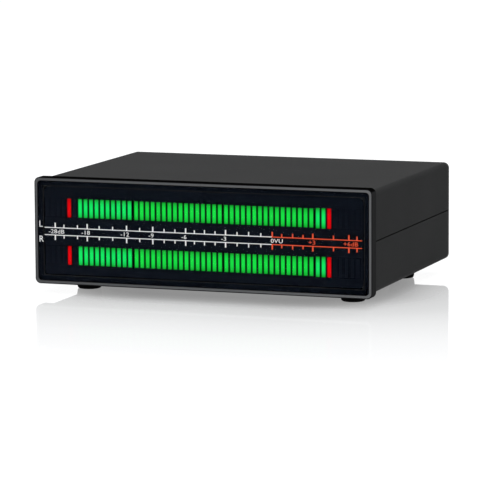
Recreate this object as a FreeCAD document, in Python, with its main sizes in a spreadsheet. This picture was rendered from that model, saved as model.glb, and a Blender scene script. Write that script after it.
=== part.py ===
import FreeCAD, Part

# Two-channel bar-graph level meter in a desktop case: extruded top and bottom shells, a front
# bezel with a smoked window, two rows of LED bar modules, a control board and rear connectors.
# Millimetres. X runs to the right seen from the front, Y from the front to the rear, Z up.
# The origin is on the floor, under the middle of the whole object's box.

import math
import os
import re

import PartDesign
import Sketcher

SIZES = {
    # Front bezel and window
    "panel_side_lap": 0.3,
    "panel_top_lap": 1.2,
    "panel_low_lap": 1.6,
    "panel_t": 5.4,
    "panel_corner": 2.4,
    "panel_edge": 0.4,
    "rim_w": 1.6,
    "rim_edge": 0.25,
    "window_corner": 1.4,
    "window_t": 1.2,
    "window_sink": 0.15,
    "window_fit": 0.1,
    "window_back_gap": 0.05,
    "ledge_w": 2.4,
    "tape_t": 0.2,
    "tape_w": 1.8,
    "mask_t": 0.15,
    "mask_fit": 0.3,
    "mask_slot_hgt": 8.9,
    # Front plate behind the bezel
    "plate_t": 1.5,
    "plate_rim": 1.8,
    "plate_fit": 0.15,
    "plate_slot_fit": 0.15,
    # Case
    "case_w": 152.4,
    "case_hgt": 43.6,
    "case_d": 109.9,
    "case_corner": 2.5,
    "wall": 2.0,
    "seam_hgt": 22.2,
    "seam_groove": 0.3,
    "tongue_hgt": 1.6,
    "tongue_fit": 0.1,
    "channel_in": 4.0,
    "channel_r": 2.4,
    "rail_w": 1.6,
    "rail_t": 1.2,
    "rail_fit": 0.2,
    "rear_panel_t": 2.0,
    # Screws of the front plate and the rear panel
    "case_screw_r": 1.25,
    "case_screw_len": 8.0,
    "case_head_r": 2.0,
    "case_head_t": 1.5,
    "screw_fit": 0.05,
    "panel_hole_fit": 0.2,
    "recess_w": 0.6,
    "recess_span": 2.4,
    "recess_d": 0.8,
    # Feet
    "foot_side_in": 15.5,
    "foot_front_in": 17.7,
    "foot_rear_in": 21.1,
    "foot_hgt": 6.2,
    "foot_top_r": 6.0,
    "foot_low_r": 5.1,
    "foot_edge": 1.0,
    "foot_well_r": 3.3,
    "foot_well_d": 3.4,
    "foot_screw_r": 1.5,
    "foot_head_r": 2.8,
    "foot_head_t": 1.8,
    "foot_screw_end": 1.5,
    # LED bar modules
    "pitch": 2.54,
    "bar_w": 1.9,
    "bar_hgt": 8.0,
    "tail_bar_hgt": 8.5,
    "bar_d": 6.0,
    "cell_fit": 0.05,
    "module_hgt": 9.1,
    "module_d": 8.2,
    "module_gap_a": 0.49,
    "module_gap_b": 0.28,
    "module_gap_c": 0.29,
    "mask_gap": 0.05,
    "row_rise": 10.3,
    "row_shift_x": -0.5,
    "row_shift_z": -0.25,
    # Display board
    "board_t": 1.6,
    "display_board_fit": 0.7,
    "display_board_gap": 0.8,
    "notch_gap": 0.5,
    "standoff_inner_x": 22.0,
    "standoff_in": 7.9,
    "standoff_af": 4.5,
    "stud_r": 1.2,
    "display_screw_r": 1.0,
    "display_screw_len": 5.0,
    "display_head_r": 1.9,
    "display_head_t": 1.3,
    "display_chip_x": 43.0,
    "display_chip_rise": 7.0,
    # Main board
    "board_lift": 9.0,
    "header_gap": 0.9,
    "main_board_gap": 0.3,
    "pin_rise": 1.8,
    "pin_size": 0.64,
    "pin_hole_r": 0.55,
    "pin_reach": 5.6,
    "pin_tail": 1.0,
    "pin_set_back": 1.25,
    "socket_d": 8.4,
    "socket_hgt": 2.6,
    "header_d": 2.5,
    # Chips and small parts
    "chip_lift": 0.1,
    "lead_w": 0.4,
    "lead_t": 0.35,
    "lead_out": 1.0,
    "lead_root": 0.3,
    "lead_pitch": 1.27,
    "fine_lead_pitch": 0.65,
    "controller_x": 10.0,
    "controller_y": 30.0,
    "controller_w": 10.0,
    "controller_t": 1.4,
    "driver_w": 15.4,
    "driver_d": 7.5,
    "driver_t": 2.3,
    "amplifier_in": 49.4,
    "amplifier_step": 12.0,
    "amplifier_w": 9.4,
    "amplifier_d": 3.9,
    "amplifier_t": 1.6,
    "crystal_y": 17.0,
    "crystal_w": 11.0,
    "crystal_d": 4.6,
    "crystal_t": 3.6,
    "signal_capacitor_in": 25.4,
    "power_capacitor_in": 39.4,
    "capacitor_step": 11.5,
    "capacitor_r": 4.0,
    "capacitor_hgt": 11.5,
    "capacitor_edge": 0.5,
    "regulator_in": 55.4,
    "regulator_w": 10.0,
    "regulator_d": 4.5,
    "regulator_hgt": 9.2,
    "tab_hgt": 6.4,
    "tab_t": 1.3,
    "tab_hole_r": 1.8,
    # Rear connectors, all on one line
    "port_rise": 7.5,
    "block_gap": 0.3,
    # Phono jacks
    "jack_pitch": 13.5,
    "jack_hole_fit": 0.2,
    "jack_block_d": 12.0,
    "jack_block_hgt": 13.0,
    "jack_block_gap": 0.2,
    "jack_r": 4.15,
    "jack_collar_r": 4.4,
    "jack_bore_r": 3.65,
    "jack_out": 8.5,
    "jack_root": 3.0,
    "jack_fit": 0.05,
    "insert_sink": 0.4,
    "insert_bore_r": 2.1,
    "contact_r": 2.0,
    "contact_bore_r": 1.6,
    "contact_sink": 0.8,
    # Power jack
    "power_w": 9.0,
    "power_d": 13.5,
    "power_hgt": 12.0,
    "power_nose_r": 4.0,
    "power_hole_fit": 0.15,
    "power_bore_r": 3.15,
    "power_bore_d": 10.0,
    "power_pin_r": 1.05,
    "power_pin_sink": 0.8,
    # Rocker switch
    "switch_w": 9.0,
    "switch_hgt": 13.0,
    "switch_d": 14.0,
    "switch_fit": 0.1,
    "flange_lap": 0.9,
    "flange_t": 1.3,
    "flange_edge": 0.4,
    "rocker_w": 7.2,
    "rocker_gap": 0.2,
    "rocker_half": 4.8,
    "rocker_base_half": 3.0,
    "rocker_crest": 4.2,
    "rocker_dip": 2.9,
    "rocker_root": 2.6,
    "rocker_end_gap": 0.8,
    "rocker_floor_gap": 1.5,
    "rocker_tilt": 10.0,
    "pivot_sink": 0.6,
    "pivot_r": 0.9,
    "pivot_fit": 0.06,
    "pivot_out": 0.5,
    "terminal_w": 2.0,
    "terminal_t": 0.6,
    "terminal_out": 3.0,
    "terminal_x": 2.4,
    # Mode push button
    "mode_w": 8.0,
    "mode_d": 10.0,
    "mode_hgt": 11.0,
    "mode_set_back": 1.5,
    "button_r": 3.0,
    "button_fit": 0.2,
    "button_out": 3.0,
    "button_edge": 0.5,
    "button_root": 1.0,
    "stem_r": 2.0,
    "stem_fit": 0.06,
    "stem_len": 6.6,
    "button_travel": 1.5,
    # Level controls
    "pot_w": 9.5,
    "pot_d": 7.0,
    "pot_hgt": 12.0,
    "bushing_r": 3.5,
    "bushing_fit": 0.1,
    "bushing_out": 3.2,
    "washer_r": 5.4,
    "washer_t": 0.4,
    "nut_af": 9.6,
    "nut_t": 1.8,
    "shaft_r": 3.0,
    "shaft_fit": 0.05,
    "shaft_root": 3.0,
    "shaft_grip": 8.5,
    "knob_fit": 0.03,
    "knob_gap": 0.5,
    "knob_r": 6.0,
    "knob_tip_r": 5.6,
    "knob_reach": 14.2,
    "knob_edge": 0.6,
    "flute_r": 0.45,
    "flute_len": 8.6,
    "pointer_w": 0.8,
    "pointer_len": 3.6,
    "pointer_d": 0.5,
}

MODULE_CELLS = (16, 16, 16, 8)
MODULE_GAPS = ("0", "module_gap_a", "module_gap_b", "module_gap_c")
GREEN_BARS = range(6, 50)
RED_BARS = (4, 50)
HEADER_PINS = 16
CONTROLLER_LEADS = 12
AMPLIFIER_LEADS = 7
DRIVER_LEADS = 12
POWER_CAPACITORS = 3
FLUTES = 24
HEX_SIDES = 6
SIDES = (-1, 1)
# Shares of a pan head: the flat crown's radius, and the upright rim's height
CROWN = 0.75
SHOULDER = 0.55
TINY = 1e-6
# How near an edge lies to a plane that it counts as in
NEAR = 1e-4

# World places and what follows from the sizes above, as expressions
PANEL_W = "(case_w + 2 * panel_side_lap)"
PANEL_HGT = "(case_hgt + panel_top_lap + panel_low_lap)"
FRONT = "(-(panel_t + case_d + knob_reach) / 2)"
CASE_FRONT = f"({FRONT} + panel_t)"
REAR_FACE = f"({CASE_FRONT} + case_d)"
REAR_INSIDE = f"({REAR_FACE} - rear_panel_t)"
PANEL_MID = f"(foot_hgt - panel_low_lap + {PANEL_HGT} / 2)"
CASE_MID = "(foot_hgt + case_hgt / 2)"
BOARD_TOP = "(foot_hgt + board_lift + board_t)"
PORT_Z = f"({BOARD_TOP} + port_rise)"
CHANNEL_X = "(case_w / 2 - channel_in)"
CHANNEL_Z = "(case_hgt / 2 - channel_in)"
WINDOW_BEHIND = "(window_sink + window_t + window_back_gap)"
MODULE_FRONT = f"({FRONT} + {WINDOW_BEHIND} + mask_t + mask_gap)"
BOARD_FRONT = f"({MODULE_FRONT} + module_d)"
BOARD_BACK = f"({BOARD_FRONT} + board_t)"
MAIN_FRONT = f"({BOARD_BACK} + socket_d + header_gap)"
ROW_W = f"({sum(MODULE_CELLS)} * pitch + module_gap_a + module_gap_b + module_gap_c)"
ROW_X = "row_shift_x"
ROW_MID = f"({PANEL_MID} + row_shift_z)"
WINDOW_W = f"({PANEL_W} - 2 * rim_w)"
WINDOW_HGT = f"({PANEL_HGT} - 2 * rim_w)"
OPENING_W = f"({WINDOW_W} - 2 * ledge_w)"
OPENING_HGT = f"({WINDOW_HGT} - 2 * ledge_w)"
DISPLAY_W = "(case_w - 2 * wall - 2 * rail_w - 2 * display_board_fit)"
DISPLAY_HGT = "(case_hgt - 2 * wall - 2 * display_board_gap)"
STANDOFF_OUTER = f"({DISPLAY_W} / 2 - standoff_in)"

# The rear connectors stand in one line from the left wall, with a gap before each of them, but
# none between the two jack blocks, and one after the last
PORT_GAPS = 7
SWITCH_SPAN = "(switch_w + 2 * flange_lap)"
JACKS_SPAN = "(4 * jack_pitch - jack_block_gap)"
PORTS_SPAN = f"({JACKS_SPAN} + 2 * pot_w + mode_w + {SWITCH_SPAN} + power_w)"
PORT_GAP = f"((case_w - 2 * wall - {PORTS_SPAN}) / {PORT_GAPS})"
INPUT_X = f"(-case_w / 2 + wall + {PORT_GAP} + jack_pitch - jack_block_gap / 2)"
OUTPUT_X = f"({INPUT_X} + 2 * jack_pitch)"
RIGHT_LEVEL_X = f"({OUTPUT_X} + jack_pitch - jack_block_gap / 2 + {PORT_GAP} + pot_w / 2)"
LEFT_LEVEL_X = f"({RIGHT_LEVEL_X} + pot_w + {PORT_GAP})"
MODE_X = f"({LEFT_LEVEL_X} + pot_w / 2 + {PORT_GAP} + mode_w / 2)"
SWITCH_X = f"({MODE_X} + mode_w / 2 + {PORT_GAP} + {SWITCH_SPAN} / 2)"
POWER_X = f"({SWITCH_X} + {SWITCH_SPAN} / 2 + {PORT_GAP} + power_w / 2)"
SIGNAL_X = (INPUT_X, OUTPUT_X)
LEVEL_X = {"left": LEFT_LEVEL_X, "right": RIGHT_LEVEL_X}

UPRIGHT = FreeCAD.Rotation()
TO_REAR = FreeCAD.Rotation(FreeCAD.Vector(1, 0, 0), -90)
TO_FRONT = FreeCAD.Rotation(FreeCAD.Vector(1, 0, 0), 90)
DOWN = FreeCAD.Rotation(FreeCAD.Vector(1, 0, 0), 180)

doc = FreeCAD.newDocument("level_meter")
sheet = doc.addObject("Spreadsheet::Sheet", "Sizes")
pieces = []
alias_pattern = re.compile(r"\b(" + "|".join(SIZES) + r")\b")


def fill_sheet():
    for row, (alias, value) in enumerate(SIZES.items(), start=1):
        sheet.set(f"A{row}", alias.replace("_", " "))
        sheet.set(f"B{row}", str(value))
        sheet.setAlias(f"B{row}", alias)
    doc.recompute()


def cell(text):
    """The expression with each size's name pointed at the sheet."""
    return alias_pattern.sub(r"Sizes.\1", text)


def number(text):
    return float(sheet.evalExpression(cell(text)))


def bind(item, **sizes):
    for name, text in sizes.items():
        item.setExpression(name, cell(text))


def place(item, x="0", y="0", z="0", turn=UPRIGHT):
    item.Placement = FreeCAD.Placement(FreeCAD.Vector(), turn)
    for axis, text in zip("xyz", (x, y, z)):
        item.setExpression(f"Placement.Base.{axis}", cell(text))


def piece(label, item):
    """Marks a finished sub-part: its label names its file."""
    item.Label = label
    pieces.append(item)
    return item


# Sketches and part-design features


def new_body(label):
    return doc.addObject("PartDesign::Body", label)


def sketch(body, plane, x="0", y="0", z="0"):
    """An empty sketch parallel to one of the body's own planes, through the point given."""
    drawing = body.newObject("Sketcher::SketchObject", body.Name + "_sketch")
    origin = next(o for o in body.Origin.OriginFeatures if o.Role == plane + "_Plane")
    drawing.AttachmentSupport = [(origin, "")]
    drawing.MapMode = "FlatFace"
    offsets = {"XY": (x, y, z), "XZ": (x, z, f"-({y})"), "YZ": (y, z, x)}
    for axis, text in zip("xyz", offsets[plane]):
        drawing.setExpression(f"AttachmentOffset.Base.{axis}", cell(text))
    return drawing


def hold(drawing, kind, text, *where):
    index = drawing.addConstraint(Sketcher.Constraint(kind, *where, number(text)))
    drawing.setExpression(f"Constraints[{index}]", cell(text))


def pin_point(drawing, geometry, vertex, x, y):
    """Ties a point of the sketch to its distances from the sketch's origin."""
    for kind, text, axis in (("DistanceX", x, -2), ("DistanceY", y, -1)):
        if abs(number(text)) < TINY:
            on_axis = Sketcher.Constraint("PointOnObject", geometry, vertex, axis)
            drawing.addConstraint(on_axis)
        else:
            hold(drawing, kind, text, -1, 1, geometry, vertex)


def polygon(drawing, points):
    first = drawing.GeometryCount
    count = len(points)
    spots = [FreeCAD.Vector(number(x), number(y), 0) for x, y in points]
    for i in range(count):
        drawing.addGeometry(Part.LineSegment(spots[i], spots[(i + 1) % count]), False)
    for i in range(count):
        following = first + (i + 1) % count
        drawing.addConstraint(Sketcher.Constraint("Coincident", first + i, 2, following, 1))
    for i, (x, y) in enumerate(points):
        pin_point(drawing, first + i, 1, x, y)
    return drawing


def rectangle(drawing, left, right, low, high):
    return polygon(drawing, [(left, low), (right, low), (right, high), (left, high)])


def centred(drawing, width, height):
    return rectangle(
        drawing, f"-({width}) / 2", f"({width}) / 2", f"-({height}) / 2", f"({height}) / 2"
    )


def circle(drawing, radius, x="0", y="0"):
    spot = FreeCAD.Vector(number(x), number(y), 0)
    up = FreeCAD.Vector(0, 0, 1)
    index = drawing.addGeometry(Part.Circle(spot, up, number(radius)), False)
    pin_point(drawing, index, 3, x, y)
    hold(drawing, "Radius", radius, index)
    return drawing


def rounded(drawing, width, height, radius):
    """A rectangle with rounded corners about the sketch's origin."""
    w, h, r = number(width) / 2, number(height) / 2, number(radius)
    up = FreeCAD.Vector(0, 0, 1)
    sides = [
        ((r - w, -h), (w - r, -h)),
        ((w, r - h), (w, h - r)),
        ((w - r, h), (r - w, h)),
        ((-w, h - r), (-w, r - h)),
    ]
    corners = [(w - r, r - h), (w - r, h - r), (r - w, h - r), (r - w, r - h)]
    for start, end in sides:
        line = Part.LineSegment(FreeCAD.Vector(*start, 0), FreeCAD.Vector(*end, 0))
        drawing.addGeometry(line, False)
    for i, spot in enumerate(corners):
        turn = math.pi / 2
        whole = Part.Circle(FreeCAD.Vector(*spot, 0), up, r)
        drawing.addGeometry(Part.ArcOfCircle(whole, (i - 1) * turn, i * turn), False)
    for i in range(4):
        drawing.addConstraint(Sketcher.Constraint("Tangent", i, 2, 4 + i, 1))
        drawing.addConstraint(Sketcher.Constraint("Tangent", 4 + i, 2, (i + 1) % 4, 1))
        drawing.addConstraint(Sketcher.Constraint(("Horizontal", "Vertical")[i % 2], i))
    for i in range(5, 8):
        drawing.addConstraint(Sketcher.Constraint("Equal", 4, i))
    drawing.addConstraint(Sketcher.Constraint("Symmetric", 4, 3, 6, 3, -1, 1))
    hold(drawing, "DistanceX", width, 3, 1, 1, 1)
    hold(drawing, "DistanceY", height, 0, 1, 2, 1)
    hold(drawing, "Radius", radius, 4)
    return drawing


def points_along_normal(drawing, toward):
    """Whether a world direction such as +Y is the side that the sketch faces."""
    normals = {"XY": "+Z", "XZ": "-Y", "YZ": "+X"}
    plane = drawing.AttachmentSupport[0][0].Role.split("_")[0]
    return normals[plane] == toward


def pad(body, drawing, length, toward="+Y", midplane=False):
    feature = body.newObject("PartDesign::Pad", body.Name + "_pad")
    feature.Profile = drawing
    bind(feature, Length=length)
    feature.Midplane = midplane
    feature.Reversed = not points_along_normal(drawing, toward)
    doc.recompute()
    return feature


def pocket(body, drawing, depth, toward="+Y", midplane=False):
    before = body.Shape.Volume
    feature = body.newObject("PartDesign::Pocket", body.Name + "_pocket")
    feature.Profile = drawing
    bind(feature, Length=depth)
    feature.Midplane = midplane
    feature.Reversed = points_along_normal(drawing, toward)
    doc.recompute()
    if body.Shape.Volume > before - TINY:
        raise RuntimeError(f"{feature.Label} cuts nothing")
    return feature


def turned(body, outline, plane="XZ"):
    """A solid of revolution about the sketch's upright axis."""
    feature = body.newObject("PartDesign::Revolution", body.Name + "_turned")
    feature.Profile = polygon(sketch(body, plane), outline)
    feature.ReferenceAxis = (feature.Profile[0], ["V_Axis"])
    feature.Angle = 360
    doc.recompute()
    return feature


def edges_in_plane(shape, axis, value, keep=lambda edge: True):
    """Names of the edges that lie whole in the plane where the axis has that value."""
    names = []
    for i, edge in enumerate(shape.Edges, start=1):
        box = edge.BoundBox
        low, high = getattr(box, axis + "Min"), getattr(box, axis + "Max")
        if abs(low - value) < NEAR and abs(high - value) < NEAR and keep(edge):
            names.append(f"Edge{i}")
    return names


def soften(body, kind, size, axis, value, keep=lambda edge: True):
    """A fillet or a chamfer on the edges of the last feature that lie in one plane."""
    tip = body.Tip
    names = edges_in_plane(tip.Shape, axis, number(value), keep)
    feature = body.newObject("PartDesign::" + kind, body.Name + "_" + kind.lower())
    feature.Base = (tip, names)
    bind(feature, **{"Radius" if kind == "Fillet" else "Size": size})
    doc.recompute()
    return feature


def repeated(body, feature, step, count, axis="X"):
    """A row of copies of a feature along one of the body's axes."""
    pattern = body.newObject("PartDesign::LinearPattern", body.Name + "_row")
    pattern.Originals = [feature]
    line = next(o for o in body.Origin.OriginFeatures if o.Role == axis + "_Axis")
    pattern.Direction = (line, [""])
    bind(pattern, Length=f"{count - 1} * ({step})")
    pattern.Occurrences = count
    body.Tip = pattern
    doc.recompute()
    return pattern


# Part primitives


def block(name, width, depth, height, x="0", y="0", z="0"):
    """A box: x is its middle, y its front and z its underside."""
    item = doc.addObject("Part::Box", name)
    bind(item, Length=width, Width=depth, Height=height)
    place(item, f"{x} - ({width}) / 2", y, z)
    return item


def rod(name, radius, length, x="0", y="0", z="0", turn=TO_REAR):
    item = doc.addObject("Part::Cylinder", name)
    bind(item, Radius=radius, Height=length)
    place(item, x, y, z, turn)
    return item


def less(name, base, *tools):
    """The base with the tools cut out of it."""
    item = base
    for tool in tools:
        cut = doc.addObject("Part::Cut", name)
        cut.Base = item
        cut.Tool = tool
        item = cut
    return item


def joined(name, *items):
    fusion = doc.addObject("Part::MultiFuse", name)
    fusion.Shapes = list(items)
    fusion.Refine = True
    return fusion


def tube(name, outer, inner, length, x="0", y="0", z="0", turn=TO_REAR):
    ring = less(name, rod(name, outer, length, turn=UPRIGHT), rod(name, inner, length, turn=UPRIGHT))
    place(ring, x, y, z, turn)
    return ring


def group(label, members):
    """Like pieces that share one file, as separate solids."""
    item = doc.addObject("Part::Compound", label)
    item.Links = list(members)
    return piece(label, item)


# Screws, with the head's seat at the local origin and the shank down the local Z axis


def cross_recess(body, top):
    for width, height in (("recess_w", "recess_span"), ("recess_span", "recess_w")):
        drawing = centred(sketch(body, "XY", z=top), width, height)
        pocket(body, drawing, "recess_d", "-Z")


def pan_screw(name, radius, length, head_r, head_t):
    body = new_body(name)
    crown = f"({head_r}) * {CROWN}"
    shoulder = f"({head_t}) * {SHOULDER}"
    outline = [
        ("0", f"-({length})"),
        (radius, f"-({length})"),
        (radius, "0"),
        (head_r, "0"),
        (head_r, shoulder),
        (crown, head_t),
        ("0", head_t),
    ]
    turned(body, outline)
    cross_recess(body, head_t)
    return body


def flat_screw(name, radius, length, head_r, head_t):
    body = new_body(name)
    outline = [
        ("0", f"-({length})"),
        (radius, f"-({length})"),
        (radius, f"-({head_t})"),
        (head_r, "0"),
        ("0", "0"),
    ]
    turned(body, outline)
    cross_recess(body, "0")
    return body


# Front


def make_front_bezel():
    body = new_body("front_bezel")
    pad(body, rounded(sketch(body, "XZ"), PANEL_W, PANEL_HGT, "panel_corner"), "panel_t")
    soften(body, "Fillet", "panel_edge", "Y", "0")
    window = rounded(sketch(body, "XZ"), WINDOW_W, WINDOW_HGT, "window_corner")
    pocket(body, window, f"{WINDOW_BEHIND} + tape_t")
    opening = rounded(sketch(body, "XZ"), OPENING_W, OPENING_HGT, "window_corner")
    pocket(body, opening, "panel_t")
    seat = rounded(
        sketch(body, "XZ", y="panel_t"),
        f"{PANEL_W} - 2 * plate_rim",
        f"{PANEL_HGT} - 2 * plate_rim",
        "window_corner",
    )
    pocket(body, seat, "plate_t", "-Y")
    inner = number(f"{WINDOW_W} / 2")
    soften(
        body,
        "Chamfer",
        "rim_edge",
        "Y",
        "0",
        lambda edge: abs(edge.CenterOfMass.x) < inner + TINY and edge.BoundBox.XMax < inner + TINY,
    )
    place(body, "0", FRONT, PANEL_MID)
    return piece("front_bezel", body)


def make_front_window():
    body = new_body("front_window")
    drawing = rounded(
        sketch(body, "XZ"),
        f"{WINDOW_W} - 2 * window_fit",
        f"{WINDOW_HGT} - 2 * window_fit",
        "window_corner - window_fit",
    )
    pad(body, drawing, "window_t")
    place(body, "0", f"{FRONT} + window_sink", PANEL_MID)
    return piece("front_window", body)


def make_window_tape():
    body = new_body("window_tape")
    width = f"({WINDOW_W} - 2 * window_fit)"
    height = f"({WINDOW_HGT} - 2 * window_fit)"
    pad(body, rounded(sketch(body, "XZ"), width, height, "window_corner - window_fit"), "tape_t")
    inside = centred(sketch(body, "XZ"), f"{width} - 2 * tape_w", f"{height} - 2 * tape_w")
    pocket(body, inside, "tape_t")
    place(body, "0", f"{FRONT} + {WINDOW_BEHIND}", PANEL_MID)
    return piece("window_tape", body)


def make_display_mask():
    body = new_body("display_mask")
    sheet_w = f"{OPENING_W} - 2 * mask_fit"
    sheet_hgt = f"{OPENING_HGT} - 2 * mask_fit"
    outline = rounded(sketch(body, "XZ"), sheet_w, sheet_hgt, "window_corner")
    pad(body, outline, "mask_t")
    for side in SIDES:
        middle = sketch(body, "XZ", x=ROW_X, z=f"row_shift_z + {side} * row_rise")
        slot = centred(middle, ROW_W, "mask_slot_hgt")
        pocket(body, slot, "mask_t")
    place(body, "0", f"{FRONT} + {WINDOW_BEHIND}", PANEL_MID)
    return piece("display_mask", body)


def make_front_plate():
    body = new_body("front_plate")
    width = f"{PANEL_W} - 2 * plate_rim - 2 * plate_fit"
    height = f"{PANEL_HGT} - 2 * plate_rim - 2 * plate_fit"
    pad(body, rounded(sketch(body, "XZ"), width, height, "window_corner - plate_fit"), "plate_t")
    for side in SIDES:
        slot = centred(
            sketch(body, "XZ", x=ROW_X, z=f"row_shift_z + {side} * row_rise"),
            f"{ROW_W} + 2 * plate_slot_fit",
            "module_hgt + 2 * plate_slot_fit",
        )
        pocket(body, slot, "plate_t")
    studs = sketch(body, "XZ")
    for x in standoff_places():
        circle(studs, "stud_r + screw_fit", x, "0")
    pocket(body, studs, "plate_t")
    corners = sketch(body, "XZ")
    for x, z in corner_places():
        circle(corners, "case_screw_r + screw_fit", x, f"{z} + {CASE_MID} - {PANEL_MID}")
    pocket(body, corners, "plate_t")
    soften(
        body,
        "Chamfer",
        "case_head_r - case_screw_r",
        "Y",
        "0",
        lambda edge: is_circle(edge, "case_screw_r + screw_fit"),
    )
    place(body, "0", f"{FRONT} + panel_t - plate_t", PANEL_MID)
    return piece("front_plate", body)


def is_circle(edge, radius):
    curve = edge.Curve
    return isinstance(curve, Part.Circle) and abs(curve.Radius - number(radius)) < TINY


def corner_places():
    """The screw channels' places about the middle of the case's end."""
    return [(f"{sx} * {CHANNEL_X}", f"{sz} * {CHANNEL_Z}") for sx in SIDES for sz in SIDES]


def standoff_places():
    distances = (STANDOFF_OUTER, "standoff_inner_x")
    return [f"{side} * {distance}" for distance in distances for side in SIDES]


def make_front_plate_screws():
    screws = []
    for x, z in corner_places():
        screw = flat_screw(
            "front_plate_screw",
            "case_screw_r",
            "case_screw_len",
            "case_head_r",
            "case_head_r - case_screw_r",
        )
        place(screw, x, f"{FRONT} + panel_t - plate_t", f"{z} + {CASE_MID}", TO_FRONT)
        screws.append(screw)
    return group("front_plate_screws", screws)


# Case


def shell_profile(body):
    """The whole case's outline, hollowed, with its four screw channels."""
    middle = "case_hgt / 2"
    outer = rounded(sketch(body, "XZ", z=middle), "case_w", "case_hgt", "case_corner")
    pad(body, outer, "case_d - rear_panel_t")
    inner = centred(sketch(body, "XZ", z=middle), "case_w - 2 * wall", "case_hgt - 2 * wall")
    pocket(body, inner, "case_d - rear_panel_t")
    channels = sketch(body, "XZ", z=middle)
    for x, z in corner_places():
        circle(channels, "channel_r", x, z)
    pad(body, channels, "case_d - rear_panel_t")
    bores = sketch(body, "XZ", z=middle)
    for x, z in corner_places():
        circle(bores, "case_screw_r + screw_fit", x, z)
    pocket(body, bores, "case_d - rear_panel_t")


def cut_band(body, low, high):
    """Cuts the band between two heights out of the case's outline."""
    band = rectangle(sketch(body, "XZ"), "-case_w", "case_w", low, high)
    pocket(body, band, "case_d - rear_panel_t")


def seam_corner(side, height, lean):
    """A small triangle on the outer edge of the seam."""
    edge = f"{side} * (case_w / 2 - seam_groove)"
    beyond = f"{side} * (case_w / 2 + seam_groove)"
    return [(edge, height), (beyond, height), (beyond, f"{height} + {lean} * 2 * seam_groove")]


def make_top_shell():
    body = new_body("top_shell")
    shell_profile(body)
    cut_band(body, "-wall", "seam_hgt")
    for side in SIDES:
        rebate = rectangle(
            sketch(body, "XZ"),
            f"{side} * (case_w / 2 - wall * 2)",
            f"{side} * (case_w / 2 - wall / 2 + tongue_fit / 2)",
            "seam_hgt - tongue_fit",
            "seam_hgt + tongue_hgt + tongue_fit",
        )
        pocket(body, rebate, "case_d - rear_panel_t")
        groove = polygon(sketch(body, "XZ"), seam_corner(side, "seam_hgt", 1))
        pocket(body, groove, "case_d - rear_panel_t")
    place(body, "0", CASE_FRONT, "foot_hgt")
    return piece("top_shell", body)


def make_bottom_shell():
    body = new_body("bottom_shell")
    shell_profile(body)
    cut_band(body, "seam_hgt", "case_hgt + wall")
    inside = "case_w / 2 - wall"
    for side in SIDES:
        tongue = rectangle(
            sketch(body, "XZ"),
            f"{side} * ({inside})",
            f"{side} * (case_w / 2 - wall / 2 - tongue_fit / 2)",
            "seam_hgt - wall",
            "seam_hgt + tongue_hgt",
        )
        pad(body, tongue, "case_d - rear_panel_t")
        groove = polygon(sketch(body, "XZ"), seam_corner(side, "seam_hgt", -1))
        pocket(body, groove, "case_d - rear_panel_t")
        for low in ("board_lift - rail_t", "board_lift + board_t + rail_fit"):
            rail = rectangle(
                sketch(body, "XZ"),
                f"{side} * ({inside} - rail_w)",
                f"{side} * (case_w / 2 - wall / 2)",
                low,
                f"{low} + rail_t",
            )
            pad(body, rail, "case_d - rear_panel_t")
    holes = sketch(body, "XY")
    for x, y in foot_places():
        circle(holes, "foot_screw_r + screw_fit", x, y)
    pocket(body, holes, "wall", "+Z")
    place(body, "0", CASE_FRONT, "foot_hgt")
    return piece("bottom_shell", body)


def make_rear_panel():
    body = new_body("rear_panel")
    middle = "case_hgt / 2"
    outer = rounded(sketch(body, "XZ", z=middle), "case_w", "case_hgt", "case_corner")
    pad(body, outer, "rear_panel_t")
    soften(body, "Fillet", "panel_edge", "Y", "rear_panel_t")
    screws = sketch(body, "XZ", z=middle)
    for x, z in corner_places():
        circle(screws, "case_screw_r + panel_hole_fit", x, z)
    pocket(body, screws, "rear_panel_t")
    ports = sketch(body, "XZ", z=f"{PORT_Z} - foot_hgt")
    for x in jack_places():
        circle(ports, "jack_collar_r + jack_hole_fit", x)
    for x in LEVEL_X.values():
        circle(ports, "bushing_r + bushing_fit", x)
    circle(ports, "power_nose_r + power_hole_fit", POWER_X)
    circle(ports, "button_r + button_fit", MODE_X)
    rectangle(
        ports,
        f"{SWITCH_X} - switch_w / 2 - switch_fit",
        f"{SWITCH_X} + switch_w / 2 + switch_fit",
        "-(switch_hgt / 2 + switch_fit)",
        "switch_hgt / 2 + switch_fit",
    )
    pocket(body, ports, "rear_panel_t")
    place(body, "0", REAR_INSIDE, "foot_hgt")
    return piece("rear_panel", body)


def make_rear_panel_screws():
    screws = []
    for x, z in corner_places():
        screw = pan_screw(
            "rear_panel_screw", "case_screw_r", "case_screw_len", "case_head_r", "case_head_t"
        )
        place(screw, x, REAR_FACE, f"{z} + {CASE_MID}", TO_REAR)
        screws.append(screw)
    return group("rear_panel_screws", screws)


# Feet


def foot_places():
    """The feet's places about the middle of the case's front edge: front pair, then rear pair."""
    depths = ("foot_front_in", "case_d - foot_rear_in")
    aside = "(case_w / 2 - foot_side_in)"
    return [(f"{side} * {aside}", depth) for depth in depths for side in SIDES]


def make_foot(label, x, y):
    body = new_body(label)
    outline = [
        ("foot_screw_r + screw_fit", "foot_well_d"),
        ("foot_well_r", "foot_well_d"),
        ("foot_well_r", "0"),
        ("foot_low_r", "0"),
        ("foot_top_r", "foot_hgt"),
        ("foot_screw_r + screw_fit", "foot_hgt"),
    ]
    turned(body, outline)
    soften(body, "Fillet", "foot_edge", "Z", "0", lambda edge: is_circle(edge, "foot_low_r"))
    place(body, x, f"{CASE_FRONT} + {y}", "0")
    return piece(label, body)


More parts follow.
